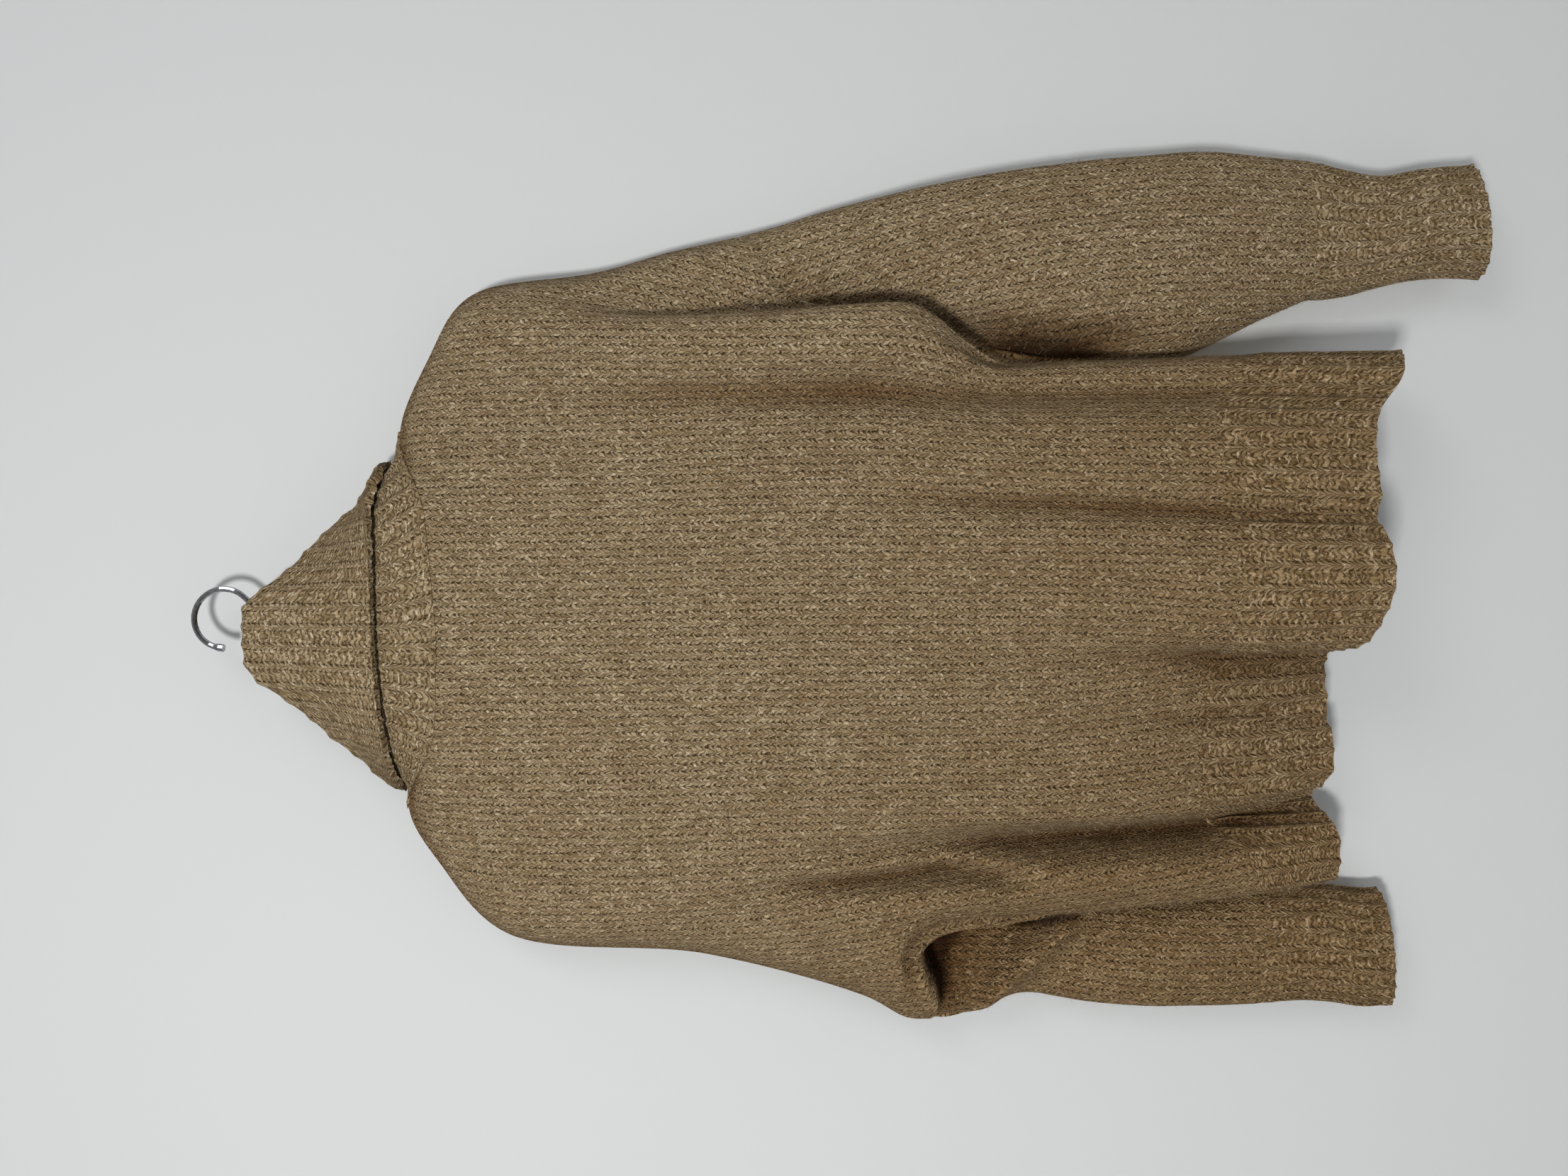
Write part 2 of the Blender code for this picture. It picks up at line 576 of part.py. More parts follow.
def make_body():
    """The front and back panels with their hem ribs, and the two sleeves with their cuffs."""
    cells = front_cells()
    front_grid = front_surface(PANEL_ROWS, cells)
    starts = np.concatenate([[0], np.cumsum(cells)])
    neck_left = starts[6]
    neck_right = starts[12]
    shoulders = list(range(1, neck_left, 2)) + list(range(neck_right + 1, starts[-1], 2))
    for column in shoulders:
        front_grid[0, column] = (front_grid[0, column - 1] + front_grid[0, column + 1]) / 2
    for row in range(ARMHOLE_CELLS + 1, len(PANEL_ROWS), 2):
        for column in (0, -1):
            front_grid[row, column] = (front_grid[row - 1, column] + front_grid[row + 1, column]) / 2
    top = front_grid[0, ::2].copy()
    first, last = neck_left // 2, neck_right // 2
    top[first:last + 1] = line(BACK_NECK, np.linspace(0, 1, last - first + 1))
    back_grid = back_surface([PANEL_ROWS[row] for row in BACK_ROWS], top)
    front = Cloth("front_panel", front_grid, CLOTH, borders="top bottom left right")
    back = Cloth("back_panel", back_grid, CLOTH, flip=True, borders="top bottom left right")

    rib_rows = (HEM_SEAM, 0.925, 1.0)
    fine_cells = [HEM_REFINE * count for count in cells]
    front_rib_grid, front_at = rib_columns(front_surface(rib_rows, fine_cells), front_grid[-1])
    wide_top = resampled(top, np.arange((len(top) - 1) * HEM_REFINE + 1) / HEM_REFINE)
    wide_back = back_surface((0.0,) + rib_rows, wide_top)[1:]
    back_rib_grid, back_at = rib_columns(wide_back, back_grid[-1])
    front_rib = Cloth("front_hem_rib", front_rib_grid, CLOTH, borders="top left right")
    back_rib = Cloth("back_hem_rib", back_rib_grid, CLOTH, flip=True, borders="top left right")
    every = slice(None)
    for rib in (front_rib, back_rib):
        rib.relief[:, 1:-1:2] = RIB_RISE
        rib.gap = WIDE_GAP
    rib_seams = [(front, (-1, every), front_rib, (0, every), front_at),
                 (back, (-1, every), back_rib, (0, every), back_at)]

    pieces = [front, back, front_rib, back_rib]
    seams = []
    above = slice(0, ARMHOLE_CELLS + 1)
    below = slice(ARMHOLE_CELLS, None)
    above_back = slice(0, BACK_ARMHOLE_CELLS + 1)
    below_back = slice(BACK_ARMHOLE_CELLS, None)
    arm_places = BACK_PLACES[above]
    side_places = BACK_PLACES[below] - BACK_ARMHOLE_CELLS
    sides = (
        ("left", 0, LEFT_SLEEVE, LEFT_CUFF),
        ("right", -1, RIGHT_SLEEVE, RIGHT_CUFF),
    )
    for side, column, sleeve_rings, cuff_rings in sides:
        front_seam = front_grid[above, column]
        back_seam = resampled(back_grid[above_back, column], arm_places)
        armhole = np.concatenate([front_seam, back_seam[::-1][1:-1]])
        turns = np.arange(len(armhole)) / len(armhole)
        grid = sleeve_surface(sleeve_rings, turns, armhole, SLEEVE_STEPS)
        flip = side == "right"
        sleeve = Cloth(side + "_sleeve", grid, CLOTH, closed=True, flip=flip, borders="top bottom")
        sleeve.gap = WIDE_GAP
        cuff_turns = np.arange(2 * CUFF_RIBS) / (2 * CUFF_RIBS)
        cuff = Cloth(side + "_cuff", tube(cuff_rings, cuff_turns, 1)[[0, 2, 4]], RIB_CLOTH, closed=True,
                     flip=flip, borders="top")
        cuff.relief[:, ::2] = RIB_RISE
        count = len(front_seam)
        back_ring = [0] + list(range(len(armhole) - 1, count - 2, -1))
        seams.append((back, (above_back, column), sleeve, (0, back_ring), arm_places))
        seams.append((back, (below_back, column), front, (below, column), side_places))
        cuff_places = np.interp(cuff_turns, turns, np.arange(len(turns)))
        seams.append((sleeve, (-1, every), cuff, (0, every), cuff_places))
        pieces += [sleeve, cuff]
    for low, high in ((0, neck_left), (neck_right, starts[-1])):
        seams.append((back, (0, slice(low // 2, high // 2 + 1)), front, (0, slice(low, high + 1)),
                      np.arange(0, (high - low) / 2 + 0.25, 0.5)))

    neck_front = front_grid[0, neck_left:neck_right + 1]
    neck_back = top[first:last + 1]
    front_places = even_places(neck_front, COLLAR_RIBS)
    back_places = even_places(neck_back, COLLAR_RIBS)
    collar_grid = collar_surface(resampled(neck_front, front_places),
                                 resampled(neck_back, back_places))
    collar = Cloth("collar", collar_grid, RIB_CLOTH, closed=True, borders="top")
    turn = [row[0] for row in COLLAR_RINGS].index("crest") + 1
    collar.relief[turn:, ::2] = RIB_RISE
    collar.facing = -1.0
    collar.gap = WIDE_GAP
    before = list(range(COLLAR_RIBS + 1))
    behind = [0] + list(range(2 * COLLAR_RIBS - 1, COLLAR_RIBS - 1, -1))
    neck_seams = [(front, (0, slice(neck_left, neck_right + 1)), collar, (0, before), front_places),
                  (back, (0, slice(first, last + 1)), collar, (0, behind), back_places)]
    pieces.append(collar)
    share_normals(pieces, seams + rib_seams + neck_seams)
    return pieces


def wire(name, collection, material, points, radius, radii=None):
    """A round bar or wire along points in metres, with filled ends."""
    data = bpy.data.curves.new(name, "CURVE")
    data.dimensions = "3D"
    data.bevel_depth = radius
    data.bevel_resolution = 2
    data.use_fill_caps = True
    spline = data.splines.new("POLY")
    spline.points.add(len(points) - 1)
    for place, point in enumerate(points):
        spline.points[place].co = (*point, 1.0)
        if radii is not None:
            spline.points[place].radius = radii[place]
    data.materials.append(material)
    item = bpy.data.objects.new(name, data)
    collection.objects.link(item)
    return item


def make_hanger(collection, bar_material, chrome):
    left = [(*point, BACK_PLANE) for point in LEFT_ARM]
    right = [(*point, BACK_PLANE) for point in RIGHT_ARM]
    bar = line(left[::-1] + right[1:], np.linspace(0.0, 1.0, 25))
    wire("hanger_arms", collection, bar_material, to_metres(bar), ARM_RADIUS / 1000.0)

    centre_down = HOOK_RADIUS - WIRE_RADIUS
    route = []
    for degrees in range(180, -51, -15):
        angle = math.radians(degrees)
        route.append((HOOK_RADIUS * math.cos(angle), centre_down - HOOK_RADIUS * math.sin(angle),
                      BACK_PLANE))
    stem_top = centre_down + HOOK_RADIUS + 12.0
    stem_end = LEFT_ARM[0][1] - ARM_RADIUS - 0.4
    route += [(5.0, centre_down + HOOK_RADIUS + 3.0, BACK_PLANE), (0.8, stem_top - 2.0, BACK_PLANE),
              (0.0, stem_top + 6.0, BACK_PLANE)]
    smooth = line(route, np.linspace(0.0, 1.0, 33))
    stem = np.array([(0.0, down, BACK_PLANE) for down in (75.0, 90.0, stem_end)])
    points = np.concatenate([smooth, stem])
    radii = np.ones(len(points))
    radii[:2] = 1.3
    wire("hanger_hook", collection, chrome, to_metres(points), WIRE_RADIUS / 1000.0, radii)


def main():
    remove_all()
    collection = make_collection("turtleneck_sweater_on_hanger")
    chrome = make_material("chrome", (0.75, 0.76, 0.78), 0.12, 1.0)
    bar_material = make_material("hanger_bar", (0.80, 0.79, 0.76), 0.45)
    make_hanger(collection, bar_material, chrome)
    for piece in make_body():
        piece.build(collection, make_material(piece.name + "_wool", (0.33, 0.25, 0.16), 0.9))


main()
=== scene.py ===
"""The looks of an oversized turtleneck sweater in chunky heather wool, on its hanger.

The cloth's tables follow the solids' forms, in millimetres as (across, down, out): across to
the viewer's right, down from the point that the hook hangs by, and out forward from the plane
that the back hangs against, BACK_PLANE behind the hook. Here the sleeves' inner edges reach
further in under the body, and the front's troughs are a little deeper. Every piece of cloth is
a thin wall around a middle surface, and carries its stitches' places and how deep it lies in a
fold, which sets its painted shade, as attributes that the wool's material reads.
"""
import math

import bpy
import numpy as np
from mathutils import Matrix, Vector, kdtree, noise


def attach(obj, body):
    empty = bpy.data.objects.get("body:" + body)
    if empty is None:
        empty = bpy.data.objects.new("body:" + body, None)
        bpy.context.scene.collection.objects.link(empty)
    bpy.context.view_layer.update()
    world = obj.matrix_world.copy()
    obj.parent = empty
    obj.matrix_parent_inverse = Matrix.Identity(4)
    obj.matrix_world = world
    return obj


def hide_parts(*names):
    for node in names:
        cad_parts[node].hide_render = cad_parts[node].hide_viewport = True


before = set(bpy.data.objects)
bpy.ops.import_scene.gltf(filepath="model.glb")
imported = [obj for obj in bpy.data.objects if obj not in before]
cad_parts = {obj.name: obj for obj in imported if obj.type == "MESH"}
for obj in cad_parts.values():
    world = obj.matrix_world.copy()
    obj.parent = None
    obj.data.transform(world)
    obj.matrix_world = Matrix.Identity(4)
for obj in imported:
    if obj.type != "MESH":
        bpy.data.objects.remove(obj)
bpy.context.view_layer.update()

BACK_PLANE = 25.0
UNDERARM = 0.36
HEM_SEAM = 0.85
LEFT_HEM_SEAM = 0.766
RIGHT_HEM_SEAM = 0.665
BACK_OUT = 12.0
ROLL = 14.0
SIDE_TURN = 42.0
HEM_RIB_PITCH = 12.8
CUFF_RIBS = 20
COLLAR_RIBS = 36

# The knit: its stitches' pitch across and down, half the cloth's thickness, the ribs' rise and
# the surface's own steps, in millimetres. SEAM_REACH, in metres, is how near two edges meet.
WALE = 5.1
ROW = 3.9
HALF_CLOTH = 1.0
HALF_RIB_CLOTH = 1.1
RIB_RISE = 1.7
CELL = 3.2
SEAM_REACH = 0.0035
RIB_STEPS = 4
RIB_ROW_STEP = 2.0

# Rows down the panels, steps along an armhole's front, rows from each of a sleeve's rings to
# the next, and the shares at which a hem band's rows lie.
FRONT_ROWS = 176
FRONT_COARSE_ROWS = 45
BACK_ROWS = 150
ARMHOLE_STEPS = 42
SLEEVE_ROW_STEPS = 12
HEM_ROWS = (HEM_SEAM, 0.90, 0.95, 1.0)

# Soft troughs of the back. Columns: across at its top, lean, half width, depth, top's down.
BACK_FOLDS = (
    (-95, -0.10, 22, -4.0, 330),
    (-20, -0.03, 30, 3.5, 260),
    (48, 0.05, 20, -3.5, 300),
    (110, 0.06, 26, 3.0, 240),
)

# How a sleeve's front sinks in under the body's overhanging edge. Columns: share of the armhole
# at its deepest, half width as a share, length of the drop, length of the rise after it, depth.
HOLLOWS = {
    "left_sleeve": (0.45, 0.36, 4.5, 26.0, 34.0),
    "right_sleeve": (0.62, 0.34, 4.0, 20.0, 20.0),
}

# The gap at each underarm, sunk and darkened with painted shade. Columns: middle and half of its
# height, and its width.
UNDERARM_GAPS = {
    "left_sleeve": (568.0, 26.0, 5.0),
    "right_sleeve": (574.0, 56.0, 19.0),
}

# Where the front's edges roll over. Columns: the sleeve there, step along a row from that edge,
# first and last shares down the seam, rise. The roll and the groove behind it: how far in from
# the edge, and half width.
RIMS = (
    ("left_sleeve", 1, 0.03, 0.50, 3.4),
    ("right_sleeve", -1, 0.12, 0.62, 2.6),
)
ROLL_PLACE = (6.0, 4.0)
GROOVE_PLACE = (16.0, 5.0)
# GROOVE_SHADE: where painted shade darkens the groove, how far in from the edge and half width.
GROOVE_SHADE = (16.0, 6.0)

# Colours of the heather wool, from its dark fibres to its pale ones, and of its painted shade.
WOOL_TONES = ((0.25, (0.135, 0.086, 0.037)), (0.50, (0.262, 0.187, 0.103)),
              (0.72, (0.360, 0.272, 0.160)), (0.95, (0.57, 0.47, 0.32)))
WOOL_WARM = (0.270, 0.180, 0.092)
WOOL_GAP_SHADE = (0.060, 0.034, 0.012)
WOOL_PALE = (0.72, 0.61, 0.45)
WOOL_FOLD_SHADE = (0.46, 0.33, 0.20)
WOOL_DEEP_FOLD_SHADE = (0.30, 0.24, 0.18)
WOOL_LOW_SHADE = (0.74, 0.65, 0.54)
FIBRE_TONES = ((0.3, (0.16, 0.11, 0.06)), (0.7, (0.50, 0.41, 0.28)))
CHROME_TONES = ((0.3, (0.26, 0.26, 0.28)), (0.7, (0.42, 0.42, 0.44)))
BAR_TONES = ((0.3, (0.66, 0.64, 0.60)), (0.7, (0.78, 0.76, 0.72)))

# The loose hairs, in metres. Where the cloth faces the viewer only a share of them is kept.
FIBRES_PER_SQUARE_METRE = 220000
FIBRE_SHARE_FLAT = 0.06
FIBRE_LENGTHS = (0.0012, 0.0050)
FIBRE_WIDTH = 0.00008

# The stage and the light.
WALL_COLOUR = (0.58, 0.60, 0.61)
FLOOR_COLOUR = (0.70, 0.71, 0.71)
FLOOR_HEIGHT = -1.45
ROOM_COLOUR = (1.0, 0.99, 0.97)
ROOM_STRENGTH = 0.36
LIGHT_TARGET = (0.02, 0.0, -0.42)
# Columns: name, place, size, energy, colour.
LIGHTS = (
    ("key", (-0.48, -1.55, -0.02), 0.20, 20.0, (1.0, 0.985, 0.96)),
    ("fill", (1.3, -1.7, 0.7), 0.9, 10.0, (0.98, 0.99, 1.0)),
    ("back", (0.9, 1.9, 0.6), 1.2, 16.0, (0.98, 0.99, 1.0)),
)
CAMERA_LENS = 27.05
CAMERA_PLACE = (0.0206, -0.795, -0.396)

# Seams of the front with the sleeves, from the shoulder to the underarm, and below it the
# side seams down to the hem. Each point is (across, down, out).
LEFT_ARMHOLE = (
    (-268, 494, 28), (-259, 497, 40), (-243, 494, 46), (-231, 488, 44), (-219, 487, 42),
    (-209, 497, 40), (-204, 517, 36), (-203, 546, 28))
LEFT_SIDE = ((-203, 546, 28), (-194, 590, 26), (-183, 655, 27), (-175, 722, 28), (-166, 763, 30))
RIGHT_ARMHOLE = (
    (258, 368, 22), (249, 374, 34), (234, 381, 38), (218, 390, 37), (210, 411, 32),
    (207, 443, 27), (200, 480, 24), (189, 509, 21), (179, 534, 20))
RIGHT_SIDE = ((179, 534, 20), (173, 609, 19), (173, 704, 22), (173, 803, 32))
LEFT_ARMHOLE_BACK = (
    (-268, 494, 28), (-252, 511, 15), (-232, 529, 12), (-214, 543, 15), (-203, 546, 28))
RIGHT_ARMHOLE_BACK = (
    (258, 368, 22), (243, 393, 12), (220, 440, 9), (196, 496, 11), (179, 534, 20))

# Lines down the front between its two seams, from the shoulder or neck to the hem's edge.
# Each row: name, cells between the line before it and this one, then its points.
FRONT_LINES = (
    ("left rim", 2, (
        (-267, 479, 28), (-256, 483, 42), (-236, 481, 54), (-220, 474, 56), (-207, 479, 56),
        (-195, 493, 56), (-192, 518, 52), (-195, 556, 42), (-192, 614, 38), (-186, 671, 38),
        (-180, 723, 38), (-172, 761, 38))),
    ("left elbow", 2, (
        (-253, 451, 27), (-240, 454, 43), (-212, 459, 60), (-189, 478, 66), (-178, 509, 66),
        (-177, 558, 60), (-174, 624, 56), (-169, 692, 52), (-161, 759, 48))),
    ("left drop", 4, (
        (-225, 343, 25), (-213, 348, 42), (-185, 386, 58), (-164, 441, 66), (-155, 501, 66),
        (-153, 562, 62), (-152, 629, 58), (-150, 697, 52), (-143, 760, 46))),
    ("left tip", 4, (
        (-211, 209, 25), (-200, 219, 42), (-173, 294, 58), (-148, 376, 64), (-135, 461, 68),
        (-129, 541, 68), (-128, 612, 64), (-126, 681, 54), (-120, 752, 44))),
    ("left slope", 4, (
        (-165, 165, 25), (-158, 178, 38), (-137, 254, 58), (-117, 345, 65), (-108, 446, 69),
        (-105, 546, 69), (-104, 622, 63), (-103, 692, 52), (-97, 757, 44))),
    ("left neck", 2, (
        (-128, 144, 25), (-122, 161, 40), (-106, 254, 60), (-90, 346, 67), (-81, 445, 72),
        (-78, 545, 71), (-77, 622, 64), (-75, 692, 53), (-71, 756, 43))),
    ("neck left", 2, (
        (-76, 168, 53), (-71, 254, 62), (-59, 346, 68), (-52, 445, 75), (-48, 544, 76),
        (-46, 621, 68), (-45, 691, 54), (-42, 753, 40))),
    ("step foot", 2, (
        (-35, 170, 55), (-33, 254, 62), (-29, 346, 69), (-25, 445, 77), (-23, 543, 80),
        (-22, 619, 74), (-22, 691, 56), (-22, 756, 37))),
    ("step top", 4, (
        (-19, 171, 56), (-18, 255, 63), (-15, 346, 70), (-13, 445, 78), (-12, 543, 83),
        (-12, 615, 86), (-13, 679, 87), (-11, 758, 89))),
    ("middle", 2, (
        (18, 168, 56), (19, 255, 64), (22, 346, 71), (24, 445, 79), (25, 542, 89),
        (25, 612, 98), (24, 671, 106), (24, 763, 112))),
    ("neck right", 4, (
        (72, 161, 52), (71, 255, 63), (73, 346, 70), (76, 445, 77), (75, 542, 88),
        (72, 612, 97), (68, 672, 105), (65, 757, 111))),
    ("right neck", 4, (
        (126, 138, 25), (125, 154, 40), (125, 254, 59), (129, 345, 64), (132, 446, 70),
        (131, 543, 80), (127, 614, 90), (124, 674, 98), (121, 756, 105))),
    ("right slope", 4, (
        (179, 159, 25), (175, 173, 39), (166, 254, 58), (164, 346, 70), (167, 425, 78),
        (164, 480, 76), (153, 525, 70), (153, 595, 72), (152, 679, 85), (147, 775, 101))),
    ("bulge", 2, (
        (208, 175, 25), (202, 188, 40), (190, 254, 58), (186, 336, 69), (190, 415, 77),
        (188, 470, 76), (172, 501, 71), (162, 528, 62), (163, 598, 60), (163, 684, 74),
        (160, 781, 90))),
    ("bulge edge", 2, (
        (221, 193, 24), (213, 207, 40), (199, 263, 54), (196, 320, 58), (198, 386, 63),
        (202, 451, 66), (201, 482, 64), (182, 508, 58), (167, 527, 50), (169, 601, 47),
        (170, 690, 58), (168, 787, 74))),
    ("crevice", 2, (
        (233, 268, 22), (224, 276, 37), (208, 300, 42), (197, 338, 42), (193, 390, 44),
        (194, 442, 47), (190, 476, 47), (177, 506, 45), (167, 533, 40), (169, 606, 36),
        (171, 697, 44), (170, 796, 58))),
    ("right drop", 2, (
        (247, 319, 22), (238, 325, 36), (221, 341, 40), (207, 362, 37), (201, 401, 35),
        (199, 443, 35), (192, 474, 34), (181, 505, 32), (172, 532, 30), (171, 608, 27),
        (172, 701, 32), (172, 800, 45))),
)
LAST_GAP_CELLS = 2

# Troughs pressed into the front. Each row: name, half width, then (across, down, depth).
FRONT_FOLDS = (
    ("left crease", 7.5, ((-174, 365, 0), (-170, 435, 15), (-163, 500, 20), (-166, 535, 15),
                          (-172, 565, 0))),
    ("left valley", 11.0, ((-150, 400, 0), (-147, 475, 14), (-144, 540, 28), (-142, 620, 37),
                           (-139, 673, 35), (-127, 725, 26), (-117, 760, 22))),
    ("right crease", 9.0, ((80, 440, 0), (76, 507, 7), (71, 607, 11), (66, 700, 11), (62, 770, 10))),
    ("middle crease", 7.0, ((-63, 560, 0), (-62, 640, 3), (-64, 700, 5), (-66, 760, 6))),
    ("right valley", 14.0, ((147, 240, 0), (148, 330, 9), (149, 450, 15), (145, 530, 14),
                            (144, 650, 14), (142, 770, 8))),
)

# The back's neck seam between the two neck points, and its hem from side to side.
BACK_NECK = ((-128, 144, 25), (-98, 151, 13), (-50, 157, 11), (0, 158, 11), (50, 155, 11),
             (98, 147, 13), (126, 138, 25))
BACK_HEM = ((-166, 763, 30), (-120, 752, 12), (-60, 750, 12), (0, 752, 12), (60, 758, 12),
            (120, 772, 12), (173, 803, 32))

# Rings down each sleeve. Columns: outer edge across and down, inner edge across and down,
# out at the front and at the back, out at the inner edge, and how much of the armhole's
# bend the ring keeps.
LEFT_SLEEVE = (
    (-268, 494, -203, 546, 44, 13, 28, 1.0),
    (-271, 505, -206, 560, 31, 9, 19, 0.75),
    (-269, 517, -203, 578, 29, 8, 16, 0.35),
    (-263, 530, -196, 597, 42, 8, 14, 0.1),
    (-257, 546, -193, 615, 29, 8, 13, 0.0),
    (-254, 566, -190, 633, 28, 8, 12, 0.0),
    (-259, 600, -189, 655, 32, 8, 12, 0.0),
    (-262, 640, -190, 680, 33, 8, 12, 0.0),
    (-262, 680, -186, 702, 32, 8, 12, 0.0),
    (-261, 714, -183, 722, 31, 8, 13, 0.0),
)
RIGHT_SLEEVE = (
    (258, 368, 179, 534, 36, 10, 20, 1.0),
    (266, 396, 182, 547, 36, 9, 18, 0.85),
    (275, 428, 180, 560, 42, 9, 18, 0.6),
    (286, 475, 178, 577, 50, 9, 18, 0.25),
    (296, 531, 175, 598, 55, 9, 19, 0.0),
    (303, 582, 174, 626, 56, 9, 20, 0.0),
    (309, 640, 175, 657, 54, 9, 20, 0.0),
    (312, 677, 186, 684, 50, 9, 20, 0.0),
    (310, 714, 203, 718, 45, 9, 20, 0.0),
    (308, 747, 217, 750, 40, 9, 20, 0.0),
)
# Rings down each cuff, with the same first seven columns.
LEFT_CUFF = (
    (-261, 714, -183, 722, 31, 8, 13),
    (-258, 741, -183, 745, 30, 8, 13),
    (-258, 765, -184, 766, 32, 9, 14),
    (-261, 786, -186, 784, 34, 9, 15),
    (-260, 806, -186, 800, 33, 10, 16),
)
RIGHT_CUFF = (
    (308, 747, 217, 750, 40, 9, 20),
    (301, 773, 221, 777, 38, 9, 20),
    (297, 798, 227, 800, 38, 10, 21),
    (301, 827, 232, 828, 42, 10, 22),
    (303, 857, 232, 866, 42, 11, 22),
)

# Columns: name, armhole at the front and at the back, side seam, the share of the side seam at
# which the hem's seam lies, rings of the sleeve and of the cuff, seed.
SIDES = (
    ("left", LEFT_ARMHOLE, LEFT_ARMHOLE_BACK, LEFT_SIDE, LEFT_HEM_SEAM, LEFT_SLEEVE, LEFT_CUFF, 5),
    ("right", RIGHT_ARMHOLE, RIGHT_ARMHOLE_BACK, RIGHT_SIDE, RIGHT_HEM_SEAM, RIGHT_SLEEVE,
     RIGHT_CUFF, 7),
)

# The collar's crest, where it turns over, and the free edge of its fall: (across, down).
CREST = ((-112, 130), (-92, 113), (-79, 96), (-64, 80), (-50, 61), (-41, 46), (-31, 38), (-15, 36),
         (6, 36), (13, 41), (21, 52), (33, 68), (47, 81), (61, 95), (74, 110), (90, 117), (102, 120))
FALL_EDGE = ((-112, 141), (-90, 138), (-55, 134), (-20, 131), (40, 129), (75, 126), (90, 127),
             (102, 130))
COLLAR_MIDDLE = -5.0
# Rings of the collar, from the neck up inside and down outside. Columns: name, half width,
# depth to the front and to the back of the hook's plane, height, which is 0 at the crest,
# 1 at the free edge and 2 at the neck's seam, and drop, in millimetres below that height.
COLLAR_RINGS = (
    ("stand", 103.0, 28.0, 13.5, 1.05, 3.0),
    ("stand high", 100.5, 22.0, 11.5, 0.66, 4.0),
    ("stand top", 100.0, 14.0, 9.5, 0.3, 4.0),
    ("inside crest", 100.0, 9.0, 8.6, 0.0, 5.0),
    ("crest", 103.5, 12.0, 11.5, 0.0, 1.0),
    ("outside crest", 107.0, 15.0, 14.0, 0.0, 4.0),
    ("fall high", 107.5, 21.5, 16.0, 0.33, 2.8),
    ("fall", 108.0, 29.0, 18.0, 0.68, 1.0),
    ("fall edge", 108.0, 35.5, 19.3, 1.0, 0.0),
)
COLLAR_SQUARENESS = 0.5


def to_metres(points):
    """Turns (across, down, out) in millimetres into metres in the frame's axes."""
    points = np.asarray(points, dtype=float)
    across = points[..., 0]
    down = points[..., 1]
    out = points[..., 2]
    return np.stack([across, BACK_PLANE - out, -down], axis=-1) / 1000.0


def unit(vectors):
    length = np.linalg.norm(vectors, axis=-1, keepdims=True)
    return vectors / np.maximum(length, 1e-9)


def knots_of(points):
    """Centripetal knots, which keep a curve through uneven points free of loops."""
    steps = np.linalg.norm(np.diff(points, axis=0), axis=1)
    return np.concatenate([[0.0], np.cumsum(np.sqrt(np.maximum(steps, 0.05)))])


def curve(points, knots, where):
    """A smooth curve through the points, read at the given knot values."""
    points = np.asarray(points, dtype=float)
    widths = np.diff(knots)
    slopes = np.diff(points, axis=0) / widths[:, None]
    tangents = np.empty_like(points)
    tangents[0] = slopes[0]
    tangents[-1] = slopes[-1]
    before = widths[:-1, None]
    after = widths[1:, None]
    tangents[1:-1] = (after * slopes[:-1] + before * slopes[1:]) / (before + after)
    span = np.clip(np.searchsorted(knots, where, side="right") - 1, 0, len(widths) - 1)
    width = widths[span][:, None]
    s = ((where - knots[span]) / widths[span])[:, None]
    return ((1 + 2 * s) * (1 - s) ** 2 * points[span] + s * (1 - s) ** 2 * width * tangents[span]
            + s * s * (3 - 2 * s) * points[span + 1] + s * s * (s - 1) * width * tangents[span + 1])


def lengths_of(points):
    steps = np.linalg.norm(np.diff(points, axis=0), axis=1)
    return np.concatenate([[0.0], np.cumsum(steps)])


def line(points, shares):
    """Points at the given shares of a smooth curve's length."""
    points = np.asarray(points, dtype=float)
    knots = knots_of(points)
    fine = curve(points, knots, np.linspace(0.0, knots[-1], 24 * len(points)))
    lengths = lengths_of(fine)
    at = np.asarray(shares) * lengths[-1]
    return np.stack([np.interp(at, lengths, fine[:, k]) for k in range(3)], axis=1)


def seam_line(armhole, side, hem_seam, shares):
    """A panel's outer border: its armhole down to the underarm's share, then its side."""
    shares = np.asarray(shares, dtype=float)
    upper = line(armhole, np.clip(shares / UNDERARM, 0.0, 1.0))
    lower = line(side, np.interp(shares, (UNDERARM, HEM_SEAM, 1.0), (0.0, hem_seam, 1.0)))
    return np.where((shares <= UNDERARM)[:, None], upper, lower)


def pressed(points):
    """Presses the front's troughs into points of its middle surface."""
    points = points.copy()
    for _, half_width, path in FRONT_FOLDS:
        across, down, depth = np.array(path, dtype=float).T
        centre = np.interp(points[..., 1], down, across)
        trough = np.interp(points[..., 1], down, depth, left=0.0)
        away = (points[..., 0] - centre) / half_width
        points[..., 2] -= trough * np.exp(-away * away)
    return points


def front_surface(shares, cells):
    """The front's middle surface: a row for each share, with the given cells in each gap."""
    lines = [seam_line(LEFT_ARMHOLE, LEFT_SIDE, LEFT_HEM_SEAM, shares)]
    lines += [line(row[2], shares) for row in FRONT_LINES]
    lines.append(seam_line(RIGHT_ARMHOLE, RIGHT_SIDE, RIGHT_HEM_SEAM, shares))
    lines = np.array(lines)
    rows = []
    for row in range(len(shares)):
        points = lines[:, row]
        knots = knots_of(points)
        where = [knots[0]]
        for gap, count in enumerate(cells):
            where += list(np.linspace(knots[gap], knots[gap + 1], count + 1)[1:])
        surface = curve(points, knots, np.array(where))
        inner = pressed(surface[1:-1])
        rows.append(np.concatenate([surface[:1], inner, surface[-1:]]))
    return np.array(rows)


